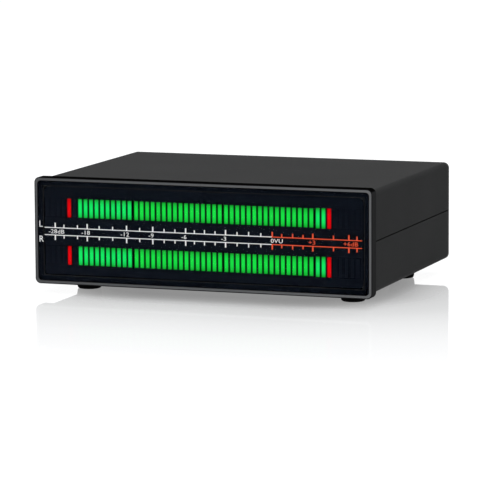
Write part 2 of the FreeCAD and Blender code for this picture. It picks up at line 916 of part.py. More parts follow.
def make_feet():
    names = ("foot_front_left", "foot_front_right", "foot_rear_left", "foot_rear_right")
    for name, (x, y) in zip(names, foot_places()):
        make_foot(name, x, y)
    screws = []
    length = "foot_hgt - foot_well_d + wall + foot_screw_end"
    for x, y in foot_places():
        screw = pan_screw("foot_screw", "foot_screw_r", length, "foot_head_r", "foot_head_t")
        place(screw, x, f"{CASE_FRONT} + {y}", "foot_well_d", DOWN)
        screws.append(screw)
    return group("foot_screws", screws)


# Display


def module_left(index):
    """The left edge of a bar module."""
    before = sum(MODULE_CELLS[:index])
    gaps = " + ".join(MODULE_GAPS[: index + 1])
    return f"({ROW_X} - {ROW_W} / 2 + {before} * pitch + {gaps})"


def bar_height(index):
    return "tail_bar_hgt" if index == len(MODULE_CELLS) - 1 else "bar_hgt"


def make_led_module(label, index, row):
    """A housing with one open cell for each bar."""
    body = new_body(label)
    cells = MODULE_CELLS[index]
    height = bar_height(index)
    width = f"{cells} * pitch"
    outline = rectangle(
        sketch(body, "XZ"), "cell_fit", f"{width} - cell_fit", "-module_hgt / 2", "module_hgt / 2"
    )
    pad(body, outline, "module_d")
    cell_sketch = centred(
        sketch(body, "XZ", x="pitch / 2"), "bar_w + 2 * cell_fit", f"{height} + 2 * cell_fit"
    )
    first = pocket(body, cell_sketch, "bar_d + cell_fit")
    repeated(body, first, "pitch", cells)
    place(body, module_left(index), MODULE_FRONT, f"{ROW_MID} + {row} * row_rise")
    return piece(label, body)


def make_bar(name, number_in_row, row):
    """One bar of a row, counted from the left."""
    index = 0
    first = 0
    while number_in_row >= first + MODULE_CELLS[index]:
        first += MODULE_CELLS[index]
        index += 1
    height = bar_height(index)
    x = f"{module_left(index)} + {number_in_row - first} * pitch + pitch / 2"
    z = f"{ROW_MID} + {row} * row_rise - {height} / 2"
    return block(name, "bar_w", "bar_d", height, x, MODULE_FRONT, z)


def make_led_rows():
    for name, row in (("upper", 1), ("lower", -1)):
        for index in range(len(MODULE_CELLS)):
            make_led_module(f"{name}_led_module_{index + 1}", index, row)
    bars = {"green": [], "red": [], "dark": []}
    for row in (1, -1):
        for i in range(sum(MODULE_CELLS)):
            colour = "green" if i in GREEN_BARS else "red" if i in RED_BARS else "dark"
            bars[colour].append(make_bar(f"{colour}_bar", i, row))
    for colour, members in bars.items():
        group(f"{colour}_bars", members)


def make_display_board():
    body = new_body("display_board")
    pad(body, centred(sketch(body, "XZ"), DISPLAY_W, DISPLAY_HGT), "board_t")
    clear_x = f"({CHANNEL_X} - channel_r - notch_gap)"
    clear_z = f"({CHANNEL_Z} - channel_r - notch_gap)"
    for sx in SIDES:
        for sz in SIDES:
            notch = rectangle(
                sketch(body, "XZ"),
                f"{sx} * {clear_x}",
                f"{sx} * {DISPLAY_W}",
                f"{sz} * {clear_z} + {CASE_MID} - {PANEL_MID}",
                f"{sz} * {DISPLAY_HGT}",
            )
            pocket(body, notch, "board_t")
    holes = sketch(body, "XZ")
    for x in standoff_places():
        circle(holes, "display_screw_r + panel_hole_fit", x, "0")
    pocket(body, holes, "board_t")
    place(body, "0", BOARD_FRONT, PANEL_MID)
    return piece("display_board", body)


def hex_prism(name, flats, length):
    """A hexagonal rod along the local Z axis, by its width across flats."""
    item = doc.addObject("Part::Prism", name)
    item.Polygon = HEX_SIDES
    bind(item, Circumradius=f"({flats}) / sqrt(3)", Height=length)
    return item


def make_display_standoffs():
    """Hexagonal pillars pressed into the front plate, bored for the board's screws."""
    length = f"({BOARD_FRONT} - {FRONT} - panel_t)"
    members = []
    for x in standoff_places():
        pillar = hex_prism("pillar", "standoff_af", length)
        stud = rod("stud", "stud_r", "plate_t + wall", z="-plate_t", turn=UPRIGHT)
        whole = joined("standoff", pillar, stud)
        grip = "(display_screw_len - board_t + panel_hole_fit)"
        bore = rod("bore", "display_screw_r + screw_fit", grip, z=f"{length} - {grip}", turn=UPRIGHT)
        standoff = less("standoff", whole, bore)
        place(standoff, x, f"{FRONT} + panel_t", PANEL_MID, TO_REAR)
        members.append(standoff)
    return group("display_standoffs", members)


def make_display_screws():
    screws = []
    for x in standoff_places():
        screw = pan_screw(
            "display_screw",
            "display_screw_r",
            "display_screw_len",
            "display_head_r",
            "display_head_t",
        )
        place(screw, x, BOARD_BACK, PANEL_MID, TO_REAR)
        screws.append(screw)
    return group("display_screws", screws)


# Chips


def chip(name, width, depth, height, leads, step, four_sides=False):
    """A moulded body over rows of flat leads, standing on the local XY plane."""
    body = block(name, width, depth, height, y=f"-({depth}) / 2", z="chip_lift")
    parts = [body]
    for i in range(leads):
        along = f"{i - (leads - 1) / 2} * {step}"
        for side in SIDES:
            middle = f"{side} * ({depth} / 2 + (lead_out - lead_root) / 2)"
            front = f"{middle} - (lead_out + lead_root) / 2"
            parts.append(block(name, "lead_w", "lead_out + lead_root", "lead_t", along, front))
            if four_sides:
                across = f"{along} - lead_w / 2"
                parts.append(block(name, "lead_out + lead_root", "lead_w", "lead_t", middle, across))
    return joined(name, *parts)


def make_driver_chips():
    members = []
    for x in (STANDOFF_OUTER, "standoff_inner_x"):
        for side in SIDES:
            driver = chip(
                "driver", "driver_w", "driver_d", "driver_t", DRIVER_LEADS, "lead_pitch"
            )
            middle = f"{side} * ({x} / 2 + display_chip_x / 2)"
            place(driver, middle, BOARD_BACK, f"{PANEL_MID} + display_chip_rise", TO_REAR)
            members.append(driver)
    return group("driver_chips", members)


def make_board_parts():
    controller = chip(
        "controller",
        "controller_w",
        "controller_w",
        "controller_t",
        CONTROLLER_LEADS,
        "fine_lead_pitch",
        four_sides=True,
    )
    place(controller, "controller_x", f"{MAIN_FRONT} + controller_y", BOARD_TOP)
    piece("microcontroller", controller)
    amplifiers = []
    for x in SIGNAL_X:
        for step in (0, 1):
            amplifier = chip(
                "amplifier",
                "amplifier_w",
                "amplifier_d",
                "amplifier_t",
                AMPLIFIER_LEADS,
                "lead_pitch",
            )
            y = f"{REAR_INSIDE} - amplifier_in + {step} * amplifier_step"
            place(amplifier, x, y, BOARD_TOP)
            amplifiers.append(amplifier)
    group("audio_chips", amplifiers)
    make_crystal()
    make_capacitors()
    make_regulator()


def make_crystal():
    body = new_body("crystal")
    drawing = rounded(sketch(body, "XY"), "crystal_w", "crystal_d", "crystal_d / 2 - chip_lift")
    pad(body, drawing, "crystal_t", "+Z")
    soften(body, "Fillet", "capacitor_edge", "Z", "crystal_t")
    place(body, "controller_x", f"{MAIN_FRONT} + crystal_y", BOARD_TOP)
    return piece("crystal", body)


def make_capacitors():
    members = []
    spots = []
    for x in SIGNAL_X:
        spots += [(f"{x} + {side} * capacitor_step / 2", "signal_capacitor_in") for side in SIDES]
    for i in range(POWER_CAPACITORS):
        spots.append((f"{POWER_X} - {i} * capacitor_step", "power_capacitor_in"))
    for x, back in spots:
        body = new_body("capacitor")
        pad(body, circle(sketch(body, "XY"), "capacitor_r"), "capacitor_hgt", "+Z")
        soften(body, "Fillet", "capacitor_edge", "Z", "capacitor_hgt")
        place(body, x, f"{REAR_INSIDE} - {back}", BOARD_TOP)
        members.append(body)
    return group("filter_capacitors", members)


def make_regulator():
    case = block("regulator_case", "regulator_w", "regulator_d", "regulator_hgt")
    tab = block("tab", "regulator_w", "tab_t", "tab_hgt + lead_t", z="regulator_hgt - lead_t")
    hole_z = "regulator_hgt + tab_hgt / 2"
    hole = rod("tab_hole", "tab_hole_r", "tab_t * 2", y="-tab_t / 2", z=hole_z)
    regulator = less("regulator", joined("regulator_blank", case, tab), hole)
    place(regulator, f"{POWER_X} - capacitor_step", f"{REAR_INSIDE} - regulator_in", BOARD_TOP)
    return piece("voltage_regulator", regulator)


# Link between the boards: a socket on the display board and a row of angled pins


def pin_place(index):
    return f"{index - (HEADER_PINS - 1) / 2} * pitch"


def make_display_socket():
    body = new_body("display_socket")
    width = f"{HEADER_PINS} * pitch"
    pad(body, centred(sketch(body, "XZ"), width, "socket_hgt"), "socket_d")
    first = pocket(
        body, circle(sketch(body, "XZ", x=pin_place(0)), "pin_hole_r"), "socket_d"
    )
    repeated(body, first, "pitch", HEADER_PINS)
    place(body, "0", BOARD_BACK, f"{BOARD_TOP} + pin_rise")
    return piece("display_socket", body)


def make_board_header():
    body = new_body("board_header")
    width = f"{HEADER_PINS} * pitch"
    side_on = rectangle(sketch(body, "XZ"), f"-{width} / 2", f"{width} / 2", "0", "2 * pin_rise")
    pad(body, side_on, "header_d")
    slot = "pin_size + 2 * screw_fit"
    row = centred(sketch(body, "XZ", x=pin_place(0), z="pin_rise"), slot, slot)
    level = pocket(body, row, "header_d")
    repeated(body, level, "pitch", HEADER_PINS)
    drop = centred(sketch(body, "XY", x=pin_place(0), y="pin_set_back"), slot, slot)
    upright = pocket(body, drop, "pin_rise", "+Z")
    repeated(body, upright, "pitch", HEADER_PINS)
    place(body, "0", MAIN_FRONT, BOARD_TOP)
    return piece("board_header", body)


def make_header_pins():
    members = []
    for i in range(HEADER_PINS):
        level = block(
            "pin",
            "pin_size",
            "pin_reach + pin_set_back + pin_size / 2",
            "pin_size",
            pin_place(i),
            f"{MAIN_FRONT} - pin_reach",
            f"{BOARD_TOP} + pin_rise - pin_size / 2",
        )
        upright = block(
            "pin",
            "pin_size",
            "pin_size",
            "pin_tail + board_t + pin_rise",
            pin_place(i),
            f"{MAIN_FRONT} + pin_set_back - pin_size / 2",
            f"{BOARD_TOP} - board_t - pin_tail",
        )
        members.append(joined("pin", level, upright))
    return group("header_pins", members)


def make_main_board():
    body = new_body("main_board")
    half = "(case_w / 2 - wall - main_board_gap)"
    depth = f"({REAR_INSIDE} - main_board_gap - {MAIN_FRONT})"
    outline = rectangle(sketch(body, "XY"), f"-{half}", half, "0", depth)
    pad(body, outline, "board_t", "+Z")
    hole = circle(sketch(body, "XY", x=pin_place(0), y="pin_set_back"), "pin_hole_r")
    first = pocket(body, hole, "board_t", "+Z")
    repeated(body, first, "pitch", HEADER_PINS)
    terminals = sketch(body, "XY")
    for side in SIDES:
        middle = f"{side} * terminal_x + {SWITCH_X}"
        rear = f"({depth} + main_board_gap + rear_panel_t - switch_d - terminal_out)"
        rectangle(
            terminals,
            f"{middle} - terminal_w / 2 - screw_fit",
            f"{middle} + terminal_w / 2 + screw_fit",
            f"{rear} - screw_fit",
            f"{rear} + terminal_t + screw_fit",
        )
    pocket(body, terminals, "board_t", "+Z")
    place(body, "0", MAIN_FRONT, f"{BOARD_TOP} - board_t")
    return piece("main_board", body)


# Phono jacks, with the local origin on the rear panel's inner face


def jack_places():
    return [f"{centre} + {side} * jack_pitch / 2" for centre in SIGNAL_X for side in SIDES]


def make_jack_block(label, centre):
    body = new_body(label)
    width = "2 * jack_pitch - jack_block_gap"
    low = "-port_rise"
    face = rectangle(
        sketch(body, "XZ", y="-block_gap"),
        f"-({width}) / 2",
        f"({width}) / 2",
        low,
        f"{low} + jack_block_hgt",
    )
    pad(body, face, "jack_block_d", "-Y")
    bores = sketch(body, "XZ", y="-block_gap")
    for side in SIDES:
        circle(bores, "jack_collar_r + jack_fit", f"{side} * jack_pitch / 2")
    pocket(body, bores, "jack_root", "-Y")
    place(body, centre, REAR_INSIDE, PORT_Z)
    return piece(label, body)


def make_jack_shell(x, root, length):
    """A tube whose root, behind the panel's outer face, is a step wider."""
    sleeve = rod("sleeve", "jack_r", length, turn=UPRIGHT)
    collar = rod("collar", "jack_collar_r", f"{length} - jack_out", turn=UPRIGHT)
    bore = rod("bore", "jack_bore_r", length, turn=UPRIGHT)
    shell = less("jack_shell", joined("shell_blank", sleeve, collar), bore)
    place(shell, x, root, PORT_Z, TO_REAR)
    return shell


def make_jacks():
    make_jack_block("output_jack_block", OUTPUT_X)
    make_jack_block("input_jack_block", INPUT_X)
    root = f"({REAR_INSIDE} - block_gap - jack_root)"
    length = "(jack_root + block_gap + rear_panel_t + jack_out)"
    shells, contacts, inserts = [], [], {-1: [], 1: []}
    for centre in SIGNAL_X:
        for side in SIDES:
            x = f"{centre} + {side} * jack_pitch / 2"
            shells.append(make_jack_shell(x, root, length))
            insert = tube(
                "jack_insert",
                "jack_bore_r - jack_fit",
                "insert_bore_r",
                f"{length} - insert_sink",
                x,
                root,
                PORT_Z,
            )
            inserts[side].append(insert)
            contact = tube(
                "contact", "contact_r", "contact_bore_r", f"{length} - contact_sink", x, root, PORT_Z
            )
            contacts.append(contact)
    group("jack_shells", shells)
    group("left_jack_inserts", inserts[1])
    group("right_jack_inserts", inserts[-1])
    group("jack_contacts", contacts)


# Power jack


def make_power_jack():
    back = "-power_d - block_gap"
    base = block("jack_base", "power_w", "power_d", "power_hgt", y=back, z="-port_rise")
    nose = rod("nose", "power_nose_r", "rear_panel_t + 2 * block_gap", y="-2 * block_gap")
    bore = rod("bore", "power_bore_r", "power_bore_d", y="rear_panel_t - power_bore_d")
    jack = less("jack", joined("jack_blank", base, nose), bore)
    place(jack, POWER_X, REAR_INSIDE, PORT_Z)
    piece("power_jack", jack)
    pin = rod("centre_pin", "power_pin_r", "power_bore_d - power_pin_sink")
    place(pin, POWER_X, f"{REAR_FACE} - power_bore_d", PORT_Z, TO_REAR)
    return piece("power_jack_pin", pin)


# Rocker switch, with the local origin on the rear panel's outer face


def make_power_switch():
    body = new_body("power_switch_body")
    barrel = centred(sketch(body, "XZ"), "switch_w", "switch_hgt")
    pad(body, barrel, "switch_d", "-Y")
    flange = centred(
        sketch(body, "XZ"), "switch_w + 2 * flange_lap", "switch_hgt + 2 * flange_lap"
    )
    pad(body, flange, "flange_t")
    soften(body, "Fillet", "flange_edge", "Y", "flange_t")
    cavity_w = "rocker_w + 2 * rocker_gap"
    cavity_hgt = "2 * (rocker_half + rocker_end_gap)"
    depth = "flange_t + pivot_sink + rocker_root + rocker_floor_gap"
    pocket(body, centred(sketch(body, "XZ", y="flange_t"), cavity_w, cavity_hgt), depth, "-Y")
    pivot = circle(sketch(body, "YZ", y="-pivot_sink"), "pivot_r + pivot_fit")
    span = "rocker_w + 2 * pivot_out + rocker_gap"
    pocket(body, pivot, span, "+X", midplane=True)
    place(body, SWITCH_X, REAR_FACE, PORT_Z)
    return piece("power_switch_body", body)


def make_power_rocker():
    """Modelled level about its pivot and set down at the tilt that it rests at."""
    body = new_body("power_rocker")
    outline = [
        ("rocker_crest", "-rocker_half"),
        ("rocker_dip", "0"),
        ("rocker_crest", "rocker_half"),
        ("0", "rocker_half"),
        ("-rocker_root", "rocker_base_half"),
        ("-rocker_root", "-rocker_base_half"),
        ("0", "-rocker_half"),
    ]
    pad(body, polygon(sketch(body, "YZ"), outline), "rocker_w", "+X", midplane=True)
    pivots = circle(sketch(body, "YZ"), "pivot_r")
    pad(body, pivots, "rocker_w + 2 * pivot_out", "+X", midplane=True)
    tilt = FreeCAD.Rotation(FreeCAD.Vector(1, 0, 0), number("rocker_tilt"))
    place(body, SWITCH_X, f"{REAR_FACE} - pivot_sink", PORT_Z, tilt)
    return piece("power_rocker", body)


def make_switch_terminals():
    """Angled blades from the back of the switch down through the board."""
    members = []
    rear = f"({REAR_FACE} - switch_d)"
    for side in SIDES:
        x = f"{SWITCH_X} + {side} * terminal_x"
        level = block(
            "terminal",
            "terminal_w",
            "terminal_out",
            "terminal_t",
            x,
            f"{rear} - terminal_out",
            f"{PORT_Z} - terminal_t / 2",
        )
        upright = block(
            "terminal",
            "terminal_w",
            "terminal_t",
            "port_rise + board_t + pin_tail",
            x,
            f"{rear} - terminal_out",
            f"{BOARD_TOP} - board_t - pin_tail",
        )
        members.append(joined("terminal", level, upright))
    return group("switch_terminals", members)


# Mode button, with the local origin on the rear panel's outer face


def make_mode_switch():
    front = "rear_panel_t + mode_set_back"
    back = f"-mode_d - ({front})"
    case = block("mode_case", "mode_w", "mode_d", "mode_hgt", y=back, z="-port_rise")
    reach = "(button_root + stem_len + button_travel + button_fit)"
    bore = rod("stem_bore", "stem_r + stem_fit", reach, y=f"-{reach}")
    switch = less("switch", case, bore)
    place(switch, MODE_X, REAR_FACE, PORT_Z)
    return piece("mode_switch", switch)


def make_mode_button():
    body = new_body("mode_button")
    outline = [
        ("0", "-(button_root + stem_len)"),
        ("stem_r", "-(button_root + stem_len)"),
        ("stem_r", "-button_root"),
        ("button_r", "-button_root"),
        ("button_r", "button_out"),
        ("0", "button_out"),
    ]
    turned(body, outline, "XY")
    soften(body, "Fillet", "button_edge", "Y", "button_out")
    place(body, MODE_X, REAR_FACE, PORT_Z)
    return piece("mode_button", body)


# Level controls, with the local origin on the rear panel's outer face


def make_level_control(side, x):
    back = "-pot_d - rear_panel_t"
    case = block("pot_case", "pot_w", "pot_d", "pot_hgt", y=back, z="-port_rise")
    bushing = rod("bushing", "bushing_r", "bushing_out + 2 * rear_panel_t", y="-2 * rear_panel_t")
    root = "(rear_panel_t + shaft_root + button_fit)"
    bore = rod("bore", "shaft_r + shaft_fit", f"bushing_out + {root}", y=f"-{root}")
    pot = less("pot", joined("pot_blank", case, bushing), bore)
    place(pot, x, REAR_FACE, PORT_Z)
    piece(f"{side}_level_pot", pot)
    shaft_start = "(rear_panel_t + shaft_root)"
    shaft_length = f"{shaft_start} + bushing_out + knob_gap + shaft_grip"
    shaft = rod("shaft", "shaft_r", shaft_length)
    place(shaft, x, f"{REAR_FACE} - {shaft_start}", PORT_Z, TO_REAR)
    piece(f"{side}_level_shaft", shaft)
    make_level_knob(side, x)


def make_level_knob(side, x):
    body = new_body(f"{side}_level_knob")
    start = "(bushing_out + knob_gap)"
    bore_end = f"({start} + shaft_grip + knob_fit)"
    outline = [
        ("shaft_r + knob_fit", start),
        ("knob_r", start),
        ("knob_tip_r", "knob_reach"),
        ("0", "knob_reach"),
        ("0", bore_end),
        ("shaft_r + knob_fit", bore_end),
    ]
    turned(body, outline, "XY")
    soften(body, "Fillet", "knob_edge", "Y", "knob_reach")
    flute = circle(sketch(body, "XZ", y=start), "flute_r", "knob_r")
    first = pocket(body, flute, "flute_len")
    pattern = body.newObject("PartDesign::PolarPattern", f"{side}_flutes")
    pattern.Originals = [first]
    axis = next(o for o in body.Origin.OriginFeatures if o.Role == "Y_Axis")
    pattern.Axis = (axis, [""])
    pattern.Angle = 360
    pattern.Occurrences = FLUTES
    body.Tip = pattern
    doc.recompute()
    line = rectangle(
        sketch(body, "XZ", y="knob_reach"),
        "-pointer_w / 2",
        "pointer_w / 2",
        "knob_tip_r - knob_edge - pointer_len",
        "knob_tip_r - knob_edge",
    )
    pocket(body, line, "pointer_d", "-Y")
    place(body, x, REAR_FACE, PORT_Z)
    return piece(f"{side}_level_knob", body)


def make_level_nuts():
    nuts, washers = [], []
    for x in LEVEL_X.values():
        washers.append(
            tube("washer", "washer_r", "bushing_r + bushing_fit", "washer_t", x, REAR_FACE, PORT_Z)
        )
        hexagon = hex_prism("nut", "nut_af", "nut_t")
        nut = less("nut", hexagon, rod("nut_bore", "bushing_r + screw_fit", "nut_t", turn=UPRIGHT))
        place(nut, x, f"{REAR_FACE} + washer_t", PORT_Z, TO_REAR)
        nuts.append(nut)
    group("level_nuts", nuts)
    group("level_washers", washers)


def build():
    fill_sheet()
    make_front_bezel()
    make_front_window()
    make_window_tape()
    make_display_mask()
    make_front_plate()
    make_front_plate_screws()
    make_top_shell()
    make_bottom_shell()
    make_rear_panel()
    make_rear_panel_screws()
    make_feet()
    make_led_rows()
    make_display_board()
    make_display_standoffs()
    make_display_screws()
    make_driver_chips()
    make_display_socket()
    make_board_header()
    make_header_pins()
    make_main_board()
    make_board_parts()
    make_jacks()
    make_power_jack()
    make_power_switch()
    make_power_rocker()
    make_switch_terminals()
    make_mode_switch()
    make_mode_button()
    for side, x in LEVEL_X.items():
        make_level_control(side, x)
    make_level_nuts()
    doc.recompute()


def check():
    """Stops before anything is written if an object failed or a sub-part has no sound shape."""
    for item in doc.Objects:
        if {"Invalid", "Error"} & set(item.State):
            raise RuntimeError(f"{item.Label} failed: {item.State}")
    for item in pieces:
        if item.Shape.isNull() or not item.Shape.isValid() or not item.Shape.Solids:
            raise RuntimeError(f"{item.Label} has no sound shape")


def export():
    os.makedirs("parts", exist_ok=True)
    for item in pieces:
        item.Shape.exportStep(f"parts/{item.Label}.step")


build()
check()
export()
print(f"{len(pieces)} sub-parts written")
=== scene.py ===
import math

import bpy
from mathutils import Matrix, Vector
from mathutils.bvhtree import BVHTree


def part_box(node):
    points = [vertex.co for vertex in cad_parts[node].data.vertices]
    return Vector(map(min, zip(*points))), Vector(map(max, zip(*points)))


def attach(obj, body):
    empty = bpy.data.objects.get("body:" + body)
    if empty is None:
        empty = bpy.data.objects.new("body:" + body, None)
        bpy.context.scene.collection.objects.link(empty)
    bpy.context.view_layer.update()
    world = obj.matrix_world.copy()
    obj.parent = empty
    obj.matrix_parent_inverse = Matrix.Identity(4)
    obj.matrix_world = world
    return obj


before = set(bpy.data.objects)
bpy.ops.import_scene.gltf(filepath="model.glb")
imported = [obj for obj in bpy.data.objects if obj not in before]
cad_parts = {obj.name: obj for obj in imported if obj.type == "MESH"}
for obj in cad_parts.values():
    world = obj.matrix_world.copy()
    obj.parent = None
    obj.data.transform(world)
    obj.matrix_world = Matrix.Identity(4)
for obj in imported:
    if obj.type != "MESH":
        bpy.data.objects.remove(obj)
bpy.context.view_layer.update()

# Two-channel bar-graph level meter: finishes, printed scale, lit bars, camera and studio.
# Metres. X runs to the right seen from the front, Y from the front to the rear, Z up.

MM = 0.001

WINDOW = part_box("front_window")
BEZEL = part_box("front_bezel")
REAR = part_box("rear_panel")
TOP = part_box("top_shell")
PANEL_MID_Z = (BEZEL[0].z + BEZEL[1].z) / 2
FRONT_Y = BEZEL[0].y
REAR_Y = REAR[1].y

# Bars and their rows
PITCH = 2.54 * MM
BAR_W = 1.9 * MM
BAR_HALF_HGT = 4.0 * MM
ROW_RISE = 10.3 * MM
MODULE_COUNT = 4
MODULE_CELLS = 16
ROW_MID_Z = (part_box("upper_led_module_1")[1].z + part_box("lower_led_module_1")[0].z) / 2


# Node helpers


class Finish:
    """A material and short calls for the nodes that make it."""

    def __init__(self, name, **settings):
        self.material = bpy.data.materials.new(name)
        self.material.use_nodes = True
        self.tree = self.material.node_tree
        self.shader = self.tree.nodes["Principled BSDF"]
        self.output = self.tree.nodes["Material Output"]
        self.place = self.add("TexCoord").outputs["Object"]
        self.set(**settings)

    def set(self, **settings):
        """Sets the shader's sockets, each by its name in small letters."""
        for key, value in settings.items():
            socket = self.shader.inputs[key.replace("_", " ").title().replace("Ior", "IOR")]
            self.put(socket, value)

    def put(self, socket, value):
        """Gives a socket a link, a colour or a plain value."""
        if isinstance(value, bpy.types.NodeSocket):
            self.tree.links.new(value, socket)
        elif isinstance(value, tuple) and len(value) == 3 and len(socket.default_value) == 4:
            socket.default_value = (*value, 1)
        else:
            socket.default_value = value

    def add(self, kind, inputs=(), **settings):
        """A new node with its first inputs and its own settings."""
        node = self.tree.nodes.new("ShaderNode" + kind)
        for key, value in settings.items():
            setattr(node, key, value)
        for index, value in enumerate(inputs):
            if value is not None:
                self.put(node.inputs[index], value)
        return node

    def math(self, operation, a, b=0.0, clamp=False):
        return self.add("Math", (a, b), operation=operation, use_clamp=clamp).outputs[0]

    def axes(self, vector=None):
        return self.add("SeparateXYZ", (vector or self.place,)).outputs

    def facing(self):
        """The surface's own direction, in the part's frame."""
        return self.axes(self.add("NewGeometry").outputs["Normal"])

    def stretched(self, scale):
        """The place with each axis multiplied."""
        return self.add("VectorMath", (self.place, scale), operation="MULTIPLY").outputs[0]

    def length(self, vector):
        return self.add("VectorMath", (vector,), operation="LENGTH").outputs["Value"]

    def outside(self, past_x, past_y):
        """How far out a spot lies, by two distances that count only past zero."""
        past_x = self.math("MAXIMUM", past_x, 0.0)
        past_y = self.math("MAXIMUM", past_y, 0.0)
        return self.length(self.add("CombineXYZ", (past_x, past_y)).outputs[0])

    def noise(self, size, detail=2.0, roughness=0.5, vector=None):
        """Noise whose features are about the size given, in metres."""
        node = self.add("TexNoise")
        self.put(node.inputs["Vector"], vector or self.place)
        self.put(node.inputs["Scale"], 1 / size)
        self.put(node.inputs["Detail"], detail)
        self.put(node.inputs["Roughness"], roughness)
        return node.outputs[0]

    def between(self, value, low, high, start=0.0, end=1.0, smooth=False):
        """The value taken from one range to another, held at the ends."""
        node = self.add("MapRange", (value, start, end, low, high))
        if smooth:
            node.interpolation_type = "SMOOTHSTEP"
        return node.outputs[0]

    def spread(self, noise, low, high):
        """Noise, most of which lies from 0.3 to 0.7, taken to the range given."""
        return self.between(noise, low, high, 0.3, 0.7)

    def blend(self, factor, a, b):
        """The first colour where the factor is 0, and the second where it is 1."""
        node = self.add("Mix", data_type="RGBA")
        self.put(node.inputs["Factor"], factor)
        self.put(node.inputs[6], a)
        self.put(node.inputs[7], b)
        return node.outputs[2]

    def bump(self, height, distance, strength):
        """Relief on the surface, as deep as the distance at most."""
        node = self.add("Bump")
        self.put(node.inputs["Height"], height)
        self.put(node.inputs["Distance"], distance)
        self.put(node.inputs["Strength"], strength)
        self.put(self.shader.inputs["Normal"], node.outputs[0])


def middle_of(node):
    low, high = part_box(node)
    return (low + high) / 2


def grey(level):
    return (level, level, level)


def shade(colour, share):
    return tuple(share * channel for channel in colour)


def paint(material, *names):
    """Gives nodes their finish, through their own material slots."""
    for name in names:
        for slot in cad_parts[name].material_slots:
            slot.material = material


# Finishes

# The groove between the two halves of the case, with painted shade along it
SEAM_RISE = 22.2 * MM
SEAM_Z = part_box("bottom_shell")[0].z + SEAM_RISE
SEAM_HALF_HGT = 0.3 * MM
SEAM_PAINTED_SHADE = 0.1

CASE_BLACK = grey(0.0265)
REAR_BLACK = grey(0.024)
CLOUD_SIZE = 38 * MM


def blasted_black(name, colour, shine, seam=None):
    """Black anodised aluminium with a fine blasted grain, with painted shade in its seam where it has one.
    """
    finish = Finish(name, metallic=0.0, specular_ior_level=shine)
    grain = finish.noise(0.22 * MM, 3, 0.6)
    cloud = finish.noise(CLOUD_SIZE)
    tone = finish.math("ADD", finish.spread(grain, -0.5, 0.5), finish.between(cloud, -0.3, 0.3))
    black = finish.blend(finish.between(tone, 0.0, 1.0, -0.6, 0.6), shade(colour, 0.75), shade(colour, 1.25))
    # Painted shade: the seam's groove is painted darker
    if seam:
        beside = finish.math("ABSOLUTE", finish.math("SUBTRACT", finish.axes()[2], seam))
        clear_of_seam_shade = finish.between(beside, 0.0, 1.0, SEAM_HALF_HGT * 0.8, SEAM_HALF_HGT)
        black = finish.blend(clear_of_seam_shade, shade(colour, SEAM_PAINTED_SHADE), black)
    finish.set(base_color=black, roughness=finish.spread(grain, 0.43, 0.57))
    finish.bump(grain, 0.012 * MM, 0.6)
    return finish.material


# The dark lines along the bezel's rim: painted shade where its edge turns to the side, and a dark line
# beside the window
RIM_PAINTED_SHADE = 0.55 * MM
RIM_DARK_INSIDE = 0.4 * MM
BEZEL_CORNER = 2.4 * MM
WINDOW_CORNER = 1.4 * MM

# The front rim's painted light, from its darker to its paler lines, and the painted light it nears towards
# the right end
RIM_PAINTED_LIGHT_DARKER = (0.07, 0.071, 0.073)
RIM_PAINTED_LIGHT_PALER = (0.115, 0.116, 0.118)
RIM_PAINTED_LIGHT_RIGHT = (0.19, 0.191, 0.193)
RIM_PAINTED_LIGHT_SHARE = 0.45
RIM_HALF_W = 75 * MM


def past_corner(finish, beside, above, corner, radius):
    """How far outside an outline with rounded corners a spot of the front lies."""
    past_x = finish.math("SUBTRACT", beside, corner.x - radius)
    past_z = finish.math("SUBTRACT", above, corner.z - PANEL_MID_Z - radius)
    return finish.math("SUBTRACT", finish.outside(past_x, past_z), radius)


